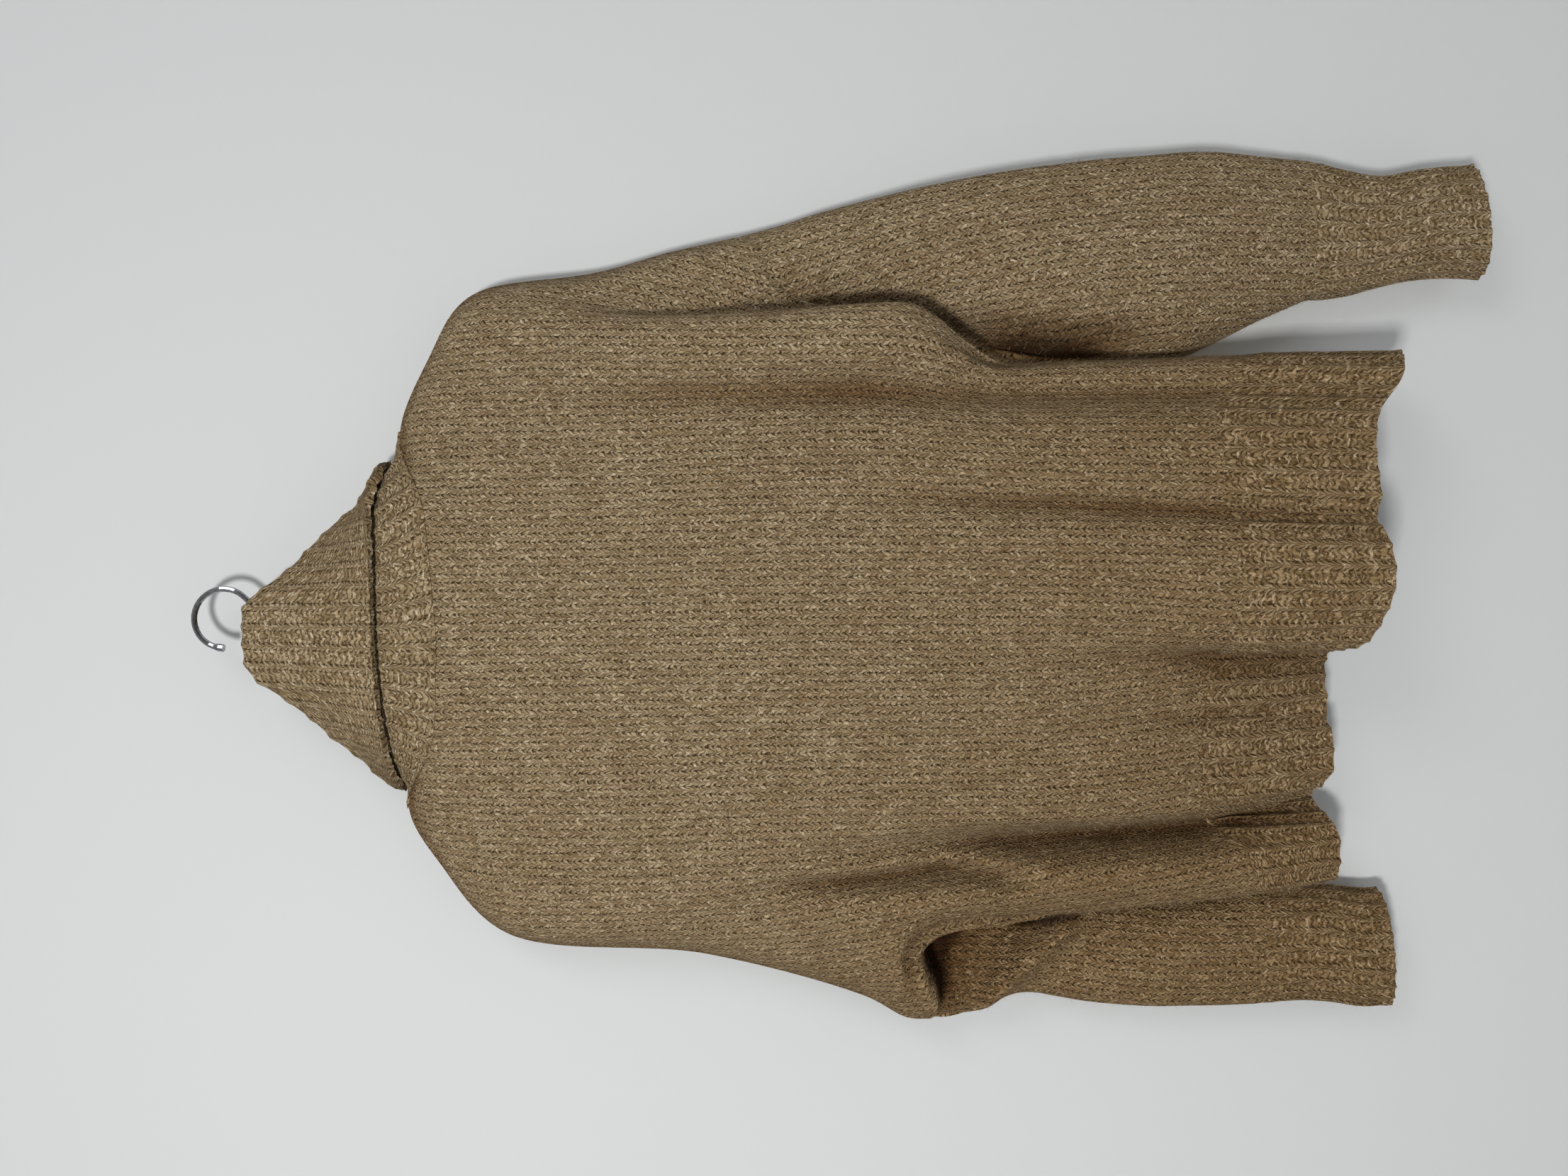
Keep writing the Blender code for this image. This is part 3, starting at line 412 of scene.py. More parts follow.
def back_surface(shares, top):
    """The back's middle surface, between the given top border, its seams and its hem."""
    count = len(top)
    shares = np.asarray(shares, dtype=float)
    left = seam_line(LEFT_ARMHOLE_BACK, LEFT_SIDE, LEFT_HEM_SEAM, shares)
    right = seam_line(RIGHT_ARMHOLE_BACK, RIGHT_SIDE, RIGHT_HEM_SEAM, shares)
    hem = line(BACK_HEM, np.linspace(0.0, 1.0, count))
    u = np.linspace(0.0, 1.0, count)[None, :, None]
    v = shares[:, None, None]
    surface = ((1 - v) * top[None] + v * hem[None] + (1 - u) * left[:, None] + u * right[:, None]
               - (1 - u) * (1 - v) * top[0] - u * (1 - v) * top[-1]
               - (1 - u) * v * hem[0] - u * v * hem[-1])
    flat = surface[..., :2]
    from_left = np.linalg.norm(flat - flat[:, :1], axis=-1)
    from_right = np.linalg.norm(flat - flat[:, -1:], axis=-1)
    from_top = np.linalg.norm(flat - flat[:1], axis=-1)
    near_left = np.clip(1 - from_left / SIDE_TURN, 0, 1) ** 1.5
    near_right = np.clip(1 - from_right / SIDE_TURN, 0, 1) ** 1.5
    near_top = 1 - np.sqrt(np.clip(1 - (1 - np.clip(from_top / ROLL, 0, 1)) ** 2, 0, 1))
    sides = (near_left * left[:, 2:3] + near_right * right[:, 2:3]
             + (1 - near_left - near_right) * BACK_OUT)
    surface[..., 2] = sides + near_top * (top[None, :, 2] - sides[:1])
    return surface


def ring(row, turns):
    """A flat tube's ring. A turn of 0 is its outer edge, 0.5 its inner edge, by the front."""
    outer_across, outer_down, inner_across, inner_down, front, back, inner_out = row[:7]
    turns = np.asarray(turns)
    share = (1 - np.cos(2 * math.pi * turns)) / 2
    swell = np.abs(np.sin(2 * math.pi * turns))
    outer_out = (front + back) / 2 - 2.0
    edge = outer_out + (inner_out - outer_out) * share
    face = np.where(turns <= 0.5, front, back)
    power = np.where(turns <= 0.5, 0.85, 0.7)
    across = outer_across + (inner_across - outer_across) * share
    down = outer_down + (inner_down - outer_down) * share
    return np.stack([across, down, edge + (face - edge) * swell ** power], axis=-1)


def tube(rings, turns, steps):
    """A sleeve's or cuff's middle surface, with steps rows from each ring to the next."""
    table = np.array(rings, dtype=float)
    knots = np.arange(len(table), dtype=float)
    where = np.linspace(0.0, knots[-1], steps * (len(table) - 1) + 1)
    return np.array([ring(row, turns) for row in curve(table, knots, where)])


def sleeve_surface(rings, turns, armhole, steps):
    """A sleeve that starts on its armhole's seams and loses their bend ring by ring."""
    surface = tube(rings, turns, steps)
    keep = np.interp(np.linspace(0, len(rings) - 1, len(surface)), range(len(rings)),
                     [row[7] for row in rings])
    return surface + keep[:, None, None] * (armhole - surface[0])[None]


def even_places(points, count):
    """Places along a border, in steps between its points, that divide its length evenly."""
    lengths = lengths_of(points)
    return np.interp(np.linspace(0.0, lengths[-1], count + 1), lengths, np.arange(len(points)))


def collar_side(half_width, depth, height, drop, seam):
    """Half a ring of the collar from left to right, its ribs evenly spaced along it."""
    angle = np.linspace(0.0, math.pi, 361)
    along = -np.sign(np.cos(angle)) * np.abs(np.cos(angle)) ** COLLAR_SQUARENESS
    bow = np.stack([COLLAR_MIDDLE + half_width * along, BACK_PLANE + depth * np.sin(angle)], axis=1)
    places = even_places(bow, len(seam) - 1)
    across = np.interp(places, np.arange(len(bow)), bow[:, 0])
    out = np.interp(places, np.arange(len(bow)), bow[:, 1])
    crest = np.interp(across, *np.array(CREST, dtype=float).T)
    edge = np.interp(across, *np.array(FALL_EDGE, dtype=float).T)
    upper = crest + (edge - crest) * min(height, 1.0)
    down = upper + (seam[:, 1] - edge) * max(height - 1.0, 0.0) + drop
    return np.stack([across, down, out], axis=1)


def collar_surface(front_seam, back_seam):
    """The collar's middle surface. Its first ring is the neck's seam, both from left to right."""
    rows = [np.concatenate([front_seam, back_seam[::-1][1:-1]])]
    for _, half_width, front, back, height, drop in COLLAR_RINGS:
        before = collar_side(half_width, front, height, drop, front_seam)
        behind = collar_side(half_width, -back, height, drop, back_seam)
        rows.append(np.concatenate([before, behind[::-1][1:-1]]))
    return np.array(rows)


def grid_normals(points, closed):
    """Outward unit normals of a grid whose rows run down and whose columns run across."""
    if closed:
        along = np.roll(points, -1, axis=1) - np.roll(points, 1, axis=1)
    else:
        along = np.gradient(points, axis=1)
    down = np.gradient(points, axis=0)
    return unit(np.cross(down, along))


def resampled(values, at):
    """Values along a border, read at fractional places between its points."""
    places = np.arange(len(values))
    return np.stack([np.interp(at, places, values[:, k]) for k in range(values.shape[1])], axis=1)


def smooth_rows(grid, step):
    """A grid with more rows, on smooth curves down each of its columns, about a step apart."""
    middle = grid[:, grid.shape[1] // 4]
    knots = knots_of(middle)
    fine = curve(middle, knots, np.linspace(0.0, knots[-1], 200))
    lengths = lengths_of(fine)
    count = max(4, round(lengths[-1] / step))
    at = np.interp(np.linspace(0.0, lengths[-1], count + 1), lengths, np.linspace(0.0, knots[-1], 200))
    places = np.interp(at, knots, np.arange(len(knots)))
    columns = []
    for column in range(grid.shape[1]):
        points = grid[:, column]
        own = knots_of(points)
        columns.append(curve(points, own, np.interp(places, np.arange(len(own)), own)))
    return np.stack(columns, axis=1)


# Flattening: where each stitch lies on the cloth


def flattened(points):
    """The grid laid flat with the least stretch, in millimetres, its middle column straight down."""
    rows, columns = points.shape[:2]
    faces = []
    for row in range(rows - 1):
        for column in range(columns - 1):
            corner = row * columns + column
            faces.append([corner, corner + 1, corner + columns + 1, corner + columns])
    mesh = bpy.data.meshes.new("flattening")
    mesh.from_pydata(points.reshape(-1, 3).tolist(), [], faces)
    mesh.uv_layers.new(name="flat")
    item = bpy.data.objects.new("flattening", mesh)
    bpy.context.scene.collection.objects.link(item)
    bpy.context.view_layer.objects.active = item
    item.select_set(True)
    bpy.ops.object.mode_set(mode="EDIT")
    bpy.ops.mesh.select_all(action="SELECT")
    bpy.ops.uv.unwrap(method="MINIMUM_STRETCH", no_flip=True, iterations=20)
    bpy.ops.object.mode_set(mode="OBJECT")
    places = np.empty(2 * len(mesh.loops))
    mesh.uv_layers["flat"].data.foreach_get("uv", places)
    corners = np.empty(len(mesh.loops), dtype=int)
    mesh.loops.foreach_get("vertex_index", corners)
    flat = np.zeros((rows * columns, 2))
    flat[corners] = places.reshape(-1, 2)
    flat = flat.reshape(rows, columns, 2)
    bpy.data.objects.remove(item, do_unlink=True)
    real = np.linalg.norm(np.diff(points, axis=0), axis=-1)
    flat *= np.median(real / np.linalg.norm(np.diff(flat, axis=0), axis=-1))
    middle = columns // 2
    down = unit(flat[-1, middle] - flat[0, middle])
    side = np.array([-down[1], down[0]])
    if (flat[rows // 2, -1] - flat[rows // 2, 0]) @ side < 0:
        side = -side
    flat = flat - flat[0, middle]
    return np.stack([flat @ side, flat @ down], axis=-1)


def refined(values, rows, columns):
    """A grid's values read at fractional rows and columns."""
    at_rows = np.stack([resampled(values[:, c], rows) for c in range(values.shape[1])], axis=1)
    return np.stack([resampled(at_rows[r], columns) for r in range(len(rows))], axis=0)


# Cloth


class Cloth:
    """A piece of cloth: a fine grid of middle points in metres and its stitches' places."""

    def __init__(self, name, points, stitches, half, closed=False, flip=False):
        self.name = name
        self.points = to_metres(points)
        self.stitches = stitches
        self.half = half / 1000.0
        self.closed = closed
        self.flip = flip
        self.facing = 1.0
        rows, columns = self.points.shape[:2]
        self.outer_relief = np.zeros((rows, columns))
        self.inner_relief = np.zeros((rows, columns))
        # How much painted shade each place takes in folds, grooves and gaps, from 0 to 1.
        self.valley = np.zeros((rows, columns))
        self.normals = (-1.0 if flip else 1.0) * grid_normals(self.points, closed)

    def border_points(self):
        rows, columns = self.points.shape[:2]
        border = np.zeros((rows, columns), dtype=bool)
        border[[0, -1]] = True
        if not self.closed:
            border[:, [0, -1]] = True
        return np.argwhere(border)

    def build(self, material):
        rows, columns = self.points.shape[:2]
        outer = self.points + self.normals * (self.half + self.outer_relief[..., None] / 1000.0)
        inner = self.points - self.normals * (self.half + self.inner_relief[..., None] / 1000.0)
        half = rows * columns
        wrap = columns if self.closed else columns - 1
        row = np.arange(rows - 1)[:, None]
        column = np.arange(wrap)[None, :]
        following = (column + 1) % columns
        a = row * columns + column
        b = row * columns + following
        c = (row + 1) * columns + following
        d = (row + 1) * columns + column
        front = np.stack([d, c, b, a], axis=-1).reshape(-1, 4)
        back = np.stack([a, b, c, d], axis=-1).reshape(-1, 4) + half
        faces = [front, back]
        edge = np.arange(wrap)
        after = (edge + 1) % columns
        for start, order in ((0, 1), ((rows - 1) * columns, -1)):
            rim = np.stack([start + edge, start + after, start + after + half, start + edge + half],
                           axis=-1)
            faces.append(rim[:, ::order])
        if not self.closed:
            edge = np.arange(rows - 1) * columns
            for start, order in ((0, -1), (columns - 1, 1)):
                rim = np.stack([start + edge, start + edge + columns, start + edge + columns + half,
                                start + edge + half], axis=-1)
                faces.append(rim[:, ::order])
        faces = np.concatenate(faces)
        if self.flip:
            faces = faces[:, ::-1]
        mesh = bpy.data.meshes.new(self.name + "_knit")
        mesh.from_pydata(np.concatenate([outer.reshape(-1, 3), inner.reshape(-1, 3)]).tolist(), [],
                         faces.tolist())
        mesh.shade_smooth()
        mesh.set_sharp_from_angle(angle=math.radians(60))
        places = mesh.attributes.new("stitch", "FLOAT_VECTOR", "POINT")
        inside = self.stitches + (0.0, 0.6, 0.0)
        both = np.concatenate([self.stitches.reshape(-1, 3), inside.reshape(-1, 3)])
        places.data.foreach_set("vector", both.astype(np.float32).ravel())
        # The painted shade in folds goes to the wool's material as its valley attribute, inside and
        # out.
        valley = mesh.attributes.new("valley", "FLOAT", "POINT")
        valley.data.foreach_set("value", np.tile(self.valley.ravel(), 2).astype(np.float32))
        mesh.materials.append(material)
        item = bpy.data.objects.new(self.name + "_knit", mesh)
        bpy.context.scene.collection.objects.link(item)
        return item

    def area(self):
        """The cloth's area in square metres, along its middle."""
        points = self.points
        if self.closed:
            points = np.concatenate([points, points[:, :1]], axis=1)
        first = points[1:, 1:] - points[:-1, :-1]
        second = points[1:, :-1] - points[:-1, 1:]
        return float(np.linalg.norm(np.cross(first, second), axis=-1).sum() / 2)


def share_normals(pieces):
    """Pieces that meet lean the same way along their seam, so that no edge of either shows."""
    trees = []
    for piece in pieces:
        border = piece.border_points()
        tree = kdtree.KDTree(len(border))
        for place, (row, column) in enumerate(border):
            tree.insert(piece.points[row, column], place)
        tree.balance()
        trees.append((tree, border, piece.facing * piece.normals[border[:, 0], border[:, 1]]))
    totals = []
    for piece, (_, border, own) in zip(pieces, trees):
        total = own.copy()
        for other, (tree, _, others) in zip(pieces, trees):
            if other is piece:
                continue
            for place, (row, column) in enumerate(border):
                _, found, away = tree.find(piece.points[row, column])
                if away < SEAM_REACH:
                    total[place] += others[found] * (1.0 - away / SEAM_REACH)
        totals.append(piece.facing * unit(total))
    for piece, (_, border, _), total in zip(pieces, trees, totals):
        piece.normals[border[:, 0], border[:, 1]] = total


def softness(points, size, depth, seed):
    """Gentle unevenness over a grid, in millimetres, as soft wool has."""
    flat = to_metres(points).reshape(-1, 3) * (1000.0 / size)
    shift = Vector((seed * 7.3, seed * 3.1, seed * 5.7))
    values = [noise.noise(Vector(point) + shift) for point in flat]
    return depth * np.array(values).reshape(points.shape[:2])


def with_seed(places, seed):
    """Stitch places with the piece's own seed as their third number."""
    return np.concatenate([places, np.full(places.shape[:2] + (1,), seed)], axis=-1)


def gap_cells():
    """Fine cells in each gap between the front's lines, from the gaps' mean widths."""
    coarse = front_surface(np.linspace(0.0, HEM_SEAM, 20), [1] * (len(FRONT_LINES) + 1))
    widths = np.linalg.norm(np.diff(coarse, axis=1), axis=-1).mean(axis=0)
    return [max(3, round(width / CELL)) for width in widths]


def blurred(values, reach):
    """Each value's mean over its neighbours up to reach cells away, twice over."""
    for _ in range(2):
        for axis in (0, 1):
            pad = [(0, 0), (0, 0)]
            pad[axis] = (reach + 1, reach)
            total = np.cumsum(np.pad(values, pad, mode="edge"), axis=axis)
            ends = np.split(total, [2 * reach + 1], axis=axis)
            size = values.shape[axis]
            values = (ends[1] - np.take(total, range(size), axis=axis)) / (2.0 * reach + 1.0)
    return values


def painted_fold_shade(points):
    """How deep each place lies in a fold, from 0 to 1, which sets the painted shade in its hollows."""
    reach, start, full, most = 7, 0.8, 9.0, 0.75
    plain_edge, fade = 3.0, 9.0
    sunk = blurred(points[..., 2], reach) - points[..., 2]
    inward = np.minimum(np.arange(points.shape[1]), np.arange(points.shape[1])[::-1])
    away_from_edge = np.clip((inward - plain_edge) / fade, 0.0, 1.0)
    return np.clip((sunk - start) / full, 0.0, most) * away_from_edge


def hump(away, place):
    """A soft hump, 1 at its place. place is its middle and half its width."""
    middle, half_width = place
    return np.exp(-((away - middle) / half_width) ** 2)


def rim_roll(front):
    """Rolls the front's edges over at the armholes, and paints shade into the groove and the underarm.
    """
    shares = np.linspace(0.0, HEM_SEAM, front.raw.shape[0])
    for name, step, first, last, rise in RIMS:
        edge = front.raw[:, ::step]
        steps = np.linalg.norm(np.diff(edge, axis=1, prepend=edge[:, :1]), axis=-1)
        away = np.cumsum(steps, axis=1)
        window = np.clip(np.minimum(shares - first, last - shares) / 0.07, 0.0, 1.0)[:, None]
        roll = rise * window * (hump(away, ROLL_PLACE) - 0.8 * hump(away, GROOVE_PLACE))
        front.outer_relief += roll[:, ::step]
        front.inner_relief -= roll[:, ::step]
        # Painted shade in the groove behind the roll and in the underarm gap.
        groove = window * hump(away, GROOVE_SHADE) * 0.5
        shade = np.maximum(groove, underarm_gap(edge, away + 4.0, name, 0.0))
        front.valley = np.maximum(front.valley, shade[:, ::step])


def make_front():
    """The front panel and its hem rib."""
    cells = gap_cells()
    shares = np.linspace(0.0, HEM_SEAM, FRONT_ROWS)
    points = front_surface(shares, cells)
    coarse_cells = [2 * row[1] for row in FRONT_LINES] + [2 * LAST_GAP_CELLS]
    coarse_shares = np.linspace(0.0, HEM_SEAM, FRONT_COARSE_ROWS)
    flat = flattened(to_metres(front_surface(coarse_shares, coarse_cells)) * 1000.0)
    columns = np.interp(np.arange(sum(cells) + 1), np.cumsum([0] + cells),
                        np.cumsum([0] + coarse_cells))
    rows = np.interp(shares, coarse_shares, np.arange(len(coarse_shares)))
    places = refined(flat, rows, columns) / (WALE, ROW)
    raw = points.copy()
    points[1:-1, 1:-1, 2] += softness(points, size=26.0, depth=1.1, seed=1)[1:-1, 1:-1]
    front = Cloth("front_panel", points, with_seed(places, 0.1), HALF_CLOTH)
    front.raw = raw
    front.valley = painted_fold_shade(raw)
    rim_roll(front)
    rib = rib_band("front_hem_rib", front_surface(HEM_ROWS, cells), 2, False, front.valley[-1])
    return front, rib


def neck_ends(points):
    """The columns of the front's top border at its two neck points."""
    ends = []
    for across in (BACK_NECK[0][0], BACK_NECK[-1][0]):
        ends.append(int(np.argmin(np.abs(points[0, :, 0] - across))))
    return ends


def make_back(front_top):
    """The back panel and its hem rib, under the front's own shoulder line."""
    top = front_top.copy()
    first, last = neck_ends(top[None])
    top[first:last + 1] = line(BACK_NECK, np.linspace(0.0, 1.0, last - first + 1))
    shares = np.linspace(0.0, HEM_SEAM, BACK_ROWS)
    points = back_surface(shares, top)
    every = slice(None, None, 4)
    flat = flattened(to_metres(points[::3, every]) * 1000.0)
    rows = np.interp(np.arange(len(shares)), np.arange(len(shares))[::3], np.arange(len(flat)))
    columns = np.interp(np.arange(len(top)), np.arange(len(top))[every], np.arange(flat.shape[1]))
    places = refined(flat, rows, columns) / (WALE, ROW)
    raw = points.copy()
    points[1:-1, 1:-1, 2] += back_folds(points)[1:-1, 1:-1]
    back = Cloth("back_panel", points, with_seed(places, 0.3), HALF_CLOTH, flip=True)
    back.raw = raw
    whole = back_surface(HEM_ROWS, top)
    rib = rib_band("back_hem_rib", whole, 4, True, back.valley[-1])
    return back, rib


def back_folds(points):
    """Soft hanging troughs of the back, as uneven as the front's, and its own unevenness."""
    change = softness(points, size=30.0, depth=1.0, seed=2)
    for across, slope, half_width, depth, start in BACK_FOLDS:
        centre = across + slope * (points[..., 1] - start)
        grow = np.clip((points[..., 1] - start) / 260.0, 0.0, 1.0)
        change += depth * grow * np.exp(-((points[..., 0] - centre) / half_width) ** 2)
    return change


def rib_band(name, grid, seed, flip, valley):
    """A hem's rib band: its ribs evenly spaced along the hem's own folds."""
    lengths = lengths_of(grid[len(grid) // 2])
    count = round(lengths[-1] / HEM_RIB_PITCH)
    at = np.linspace(0.0, lengths[-1], 2 * RIB_STEPS * count + 1)
    places = np.interp(at, lengths, np.arange(len(lengths)))
    rows = smooth_rows(np.array([resampled(row, places) for row in grid]), RIB_ROW_STEP)
    ribs = np.arange(len(at)) / (2.0 * RIB_STEPS) - 0.5
    stitches = rib_stitches(rows, ribs, rows.shape[1] // 2)
    band = Cloth(name, rows, with_seed(stitches, seed / 10.0), HALF_RIB_CLOTH, flip=flip)
    band.outer_relief = rib_relief(stitches, len(rows), seed)
    # The painted fold shade of the panel's lowest row carries on down the band, fading.
    fade = np.linspace(1.0, 0.5, len(rows))[:, None]
    band.valley = fade * np.interp(places, np.arange(len(valley)), valley)[None, :]
    free_edge(band, len(rows) - 1)
    return band


def rib_stitches(rows, ribs, column):
    """Stitch places of a band, in ribs across and in rows down the given column."""
    down = lengths_of(rows[:, column]) / ROW
    return np.stack(np.broadcast_arrays(ribs[None, :], down[:, None]), axis=-1)


def rib_relief(stitches, rows, seed):
    """The ribs' rise over a band, starting low where it is sewn on."""
    half_width, low, full_row = 0.17, 0.25, 5.0
    away = np.abs(stitches[..., 0] - np.round(stitches[..., 0]))
    ridge = np.exp(-(away / half_width) ** 2)
    start = np.clip(np.arange(rows) / full_row, low, 1.0)[:, None]
    wander = np.array([[noise.noise(Vector((4.1 * u, 0.22 * v, seed))) for u in stitches[0, :, 0]]
                       for v in stitches[:, 0, 1]])
    return start * RIB_RISE * ridge * (1.0 + 0.35 * wander)


def free_edge(band, last, inward=0.6):
    """Swells a band's cast-off edge into a soft bumpy roll. inward is how far it turns in."""
    half_height = 1.6
    rows = np.arange(band.points.shape[0])
    near = np.exp(-((rows - last) / half_height) ** 2)[:, None]
    ribs = band.stitches[last, :, 0]
    bumps = np.array([noise.noise(Vector((3.3 * u, 1.7, 9.0 + last))) for u in ribs])[None, :]
    swell = near * (0.5 + 0.9 * bumps)
    band.outer_relief = band.outer_relief + swell
    band.inner_relief = band.inner_relief + swell * inward


def hollowed(points, name):
    """Sinks a sleeve's front where the body's edge stands over it, and gives back its painted shade.
    """
    lowest = BACK_OUT + 3.0
    shade_start, shade_full = 1.0, 13.0
    middle, half_width, drop, rise, depth = HOLLOWS[name]
    shares = np.arange(points.shape[1]) / ARMHOLE_STEPS
    strength = depth * np.exp(-((shares - middle) / half_width) ** 2)
    strength[shares > 1.0] = 0.0
    away = np.linalg.norm(points - points[:1], axis=-1)
    sunk = points[..., 2] - strength * (1.0 - np.exp(-(away / drop) ** 2)) * np.exp(-away / rise)
    sunk = np.minimum(points[..., 2], np.maximum(sunk, lowest))
    # Painted shade, deeper where the cloth has sunk further.
    valley = np.clip((points[..., 2] - sunk - shade_start) / shade_full, 0.0, 1.0)
    points[..., 2] = sunk
    across = np.abs(points[..., 0])
    inward = across - across.min(axis=1, keepdims=True)
    gap = underarm_gap(points, inward, name, 0.0)
    gap[0] = 0.0
    points[..., 2] = np.minimum(points[..., 2], points[..., 2] * (1.0 - gap) + lowest * gap)
    return np.maximum(valley, underarm_gap(points, inward, name, 4.0))


def underarm_gap(points, inward, name, more):
    """1 in a sleeve's underarm gap and 0 away from it. more widens it, in millimetres."""
    level, half_height, width = UNDERARM_GAPS[name]
    high = (points[..., 1] - level) / half_height
    return np.exp(-high ** 4 - (inward / (width + more)) ** 4)


def make_sleeve(name, rings, armhole, seed, flip):
    """A sleeve of fine rings from its armhole's seams down to its cuff."""
    turns = np.arange(len(armhole)) / len(armhole)
    points = sleeve_surface(rings, turns, armhole, SLEEVE_ROW_STEPS)
    cut = len(armhole) // 2
    opened = np.roll(points, -cut, axis=1)
    opened = np.concatenate([opened, opened[:, :1]], axis=1)
    every = np.unique(np.concatenate([np.arange(0, len(armhole), 3), [len(armhole)]]))
    flat = flattened(to_metres(opened[::3, every]) * 1000.0)
    rows = np.interp(np.arange(len(points)), np.arange(len(points))[::3], np.arange(len(flat)))
    columns = np.interp(np.arange(len(armhole)), every, np.arange(len(every)))
    places = np.roll(refined(flat, rows, columns), cut, axis=1) / (WALE, ROW)
    points[1:-1, :, 2] += softness(points, size=24.0, depth=1.2, seed=seed)[1:-1]
    # The painted shade in the sleeve's hollow and underarm gap.
    valley = hollowed(points, name)
    sleeve = Cloth(name, points, with_seed(places, seed / 10.0), HALF_CLOTH, closed=True, flip=flip)
    sleeve.valley = valley
    return sleeve


def make_cuff(name, rings, seed, flip):
    """A cuff: a rib tube with a free edge."""
    count = 2 * CUFF_RIBS * RIB_STEPS
    turns = np.arange(count) / count
    coarse = tube(rings, turns, 1)
    rows = smooth_rows(coarse, RIB_ROW_STEP)
    ribs = turns * CUFF_RIBS
    stitches = rib_stitches(rows, ribs, count // 4)
    cuff = Cloth(name, rows, with_seed(stitches, seed / 10.0), HALF_RIB_CLOTH, closed=True, flip=flip)
    cuff.outer_relief = 0.8 * rib_relief(stitches, len(rows), seed)
    free_edge(cuff, len(rows) - 1)
    return cuff


def make_collar(front_neck, back_neck):
    """The collar: a rib tube that stands up from the neck and folds over once."""
    steps = COLLAR_RIBS * RIB_STEPS
    before = resampled(front_neck, even_places(front_neck, steps))
    behind = resampled(back_neck, even_places(back_neck, steps))
    rows = smooth_rows(collar_surface(before, behind), RIB_ROW_STEP)
    ribs = np.arange(rows.shape[1]) / (2.0 * RIB_STEPS)
    stitches = rib_stitches(rows, ribs, steps // 2)
    collar = Cloth("collar", rows, with_seed(stitches, 0.9), HALF_RIB_CLOTH, closed=True)
    collar.facing = -1.0
    relief = rib_relief(stitches, len(rows), 9)
    crest = int(np.argmin(rows[:, steps // 2, 1]))
    share = np.clip((np.arange(len(rows)) - crest) / 6.0 + 0.5, 0.0, 1.0)[:, None]
    collar.outer_relief = relief * share
    collar.inner_relief = relief * (1.0 - share) * 0.8
    free_edge(collar, len(rows) - 1, 2.4)
    ridge = np.exp(-((np.arange(len(rows)) - 1.0) / 1.3) ** 2)[:, None]
    collar.inner_relief = collar.inner_relief + 1.2 * ridge
    return collar


# Materials


def link(tree, source, target):
    tree.links.new(source, target)


class Sum:
    """Builds a node tree's maths, one node a step."""

    def __init__(self, tree):
        self.tree = tree

    def put(self, socket, value):
        """Sets a socket, or links it when the value is another node's output."""
        if isinstance(value, (int, float)):
            socket.default_value = value
        else:
            link(self.tree, value, socket)

    def do(self, operation, *values):
        node = self.tree.nodes.new("ShaderNodeMath")
        node.operation = operation
        for place, value in enumerate(values):
            self.put(node.inputs[place], value)
        return node.outputs[0]

    def times(self, first, second):
        return self.do("MULTIPLY", first, second)

    def plus(self, first, second):
        return self.do("ADD", first, second)

    def minus(self, first, second):
        return self.do("SUBTRACT", first, second)

    def vector(self, x, y, z):
        node = self.tree.nodes.new("ShaderNodeCombineXYZ")
        for place, value in enumerate((x, y, z)):
            self.put(node.inputs[place], value)
        return node.outputs[0]

    def noise(self, vector, scale, detail=2.0, roughness=0.5):
        node = self.tree.nodes.new("ShaderNodeTexNoise")
        node.inputs["Scale"].default_value = scale
        node.inputs["Detail"].default_value = detail
        node.inputs["Roughness"].default_value = roughness
        link(self.tree, vector, node.inputs["Vector"])
        return node.outputs["Fac"]

    def random(self, vector):
        node = self.tree.nodes.new("ShaderNodeTexWhiteNoise")
        node.noise_dimensions = "3D"
        link(self.tree, vector, node.inputs["Vector"])
        return node.outputs["Value"]

    def smooth(self, value, low, high):
        node = self.tree.nodes.new("ShaderNodeMapRange")
        node.interpolation_type = "SMOOTHSTEP"
        self.put(node.inputs["Value"], value)
        self.put(node.inputs["From Min"], low)
        self.put(node.inputs["From Max"], high)
        return node.outputs["Result"]

    def blend(self, share, first, second):
        """first where share is 0, second where it is 1."""
        return self.plus(self.times(first, self.minus(1.0, share)), self.times(second, share))


def new_group(name, inputs, outputs):
    group = bpy.data.node_groups.new(name, "ShaderNodeTree")
    for label, kind, value in inputs:
        socket = group.interface.new_socket(label, in_out="INPUT", socket_type=kind)
        if value is not None:
            socket.default_value = value
    for label, kind in outputs:
        group.interface.new_socket(label, in_out="OUTPUT", socket_type=kind)
    start = group.nodes.new("NodeGroupInput")
    end = group.nodes.new("NodeGroupOutput")
    return group, start, end


def split(tree, vector):
    node = tree.nodes.new("ShaderNodeSeparateXYZ")
    link(tree, vector, node.inputs[0])
    return node.outputs


def legs(m, across, row, identity, seed, closeness):
    """A plait of slanting yarn legs. across is 0 at a wale's middle and 0.5 at its edge.

    closeness is how much the legs hide the gaps from one row to the next.
    """
    slanted = m.plus(row, m.times(across, 2.1))
    number = m.do("FLOOR", slanted)
    chance = m.random(m.vector(identity, number, seed))
    phase = m.do("FRACT", slanted)
    lobe = m.do("POWER", m.do("SINE", m.times(phase, math.pi)), 0.8)
    cover = m.times(m.minus(1.0, m.times(across, 2.0)), closeness)
    body = m.blend(cover, lobe, 1.0)
    reach = m.minus(0.5, m.times(m.random(m.vector(number, identity, seed)), 0.10))
    bulge = m.times(lobe, 0.17)
    edge = m.smooth(m.plus(m.minus(reach, across), bulge), -0.02, 0.17)
    middle = m.smooth(across, -0.14, 0.10)
    streaks = m.vector(m.times(across, 2.6), m.times(slanted, 4.6), m.times(identity, 3.7))
    grain = m.noise(streaks, 1.0, 3.0, 0.6)
    height = m.times(body, m.times(edge, middle))
    return height, chance, grain


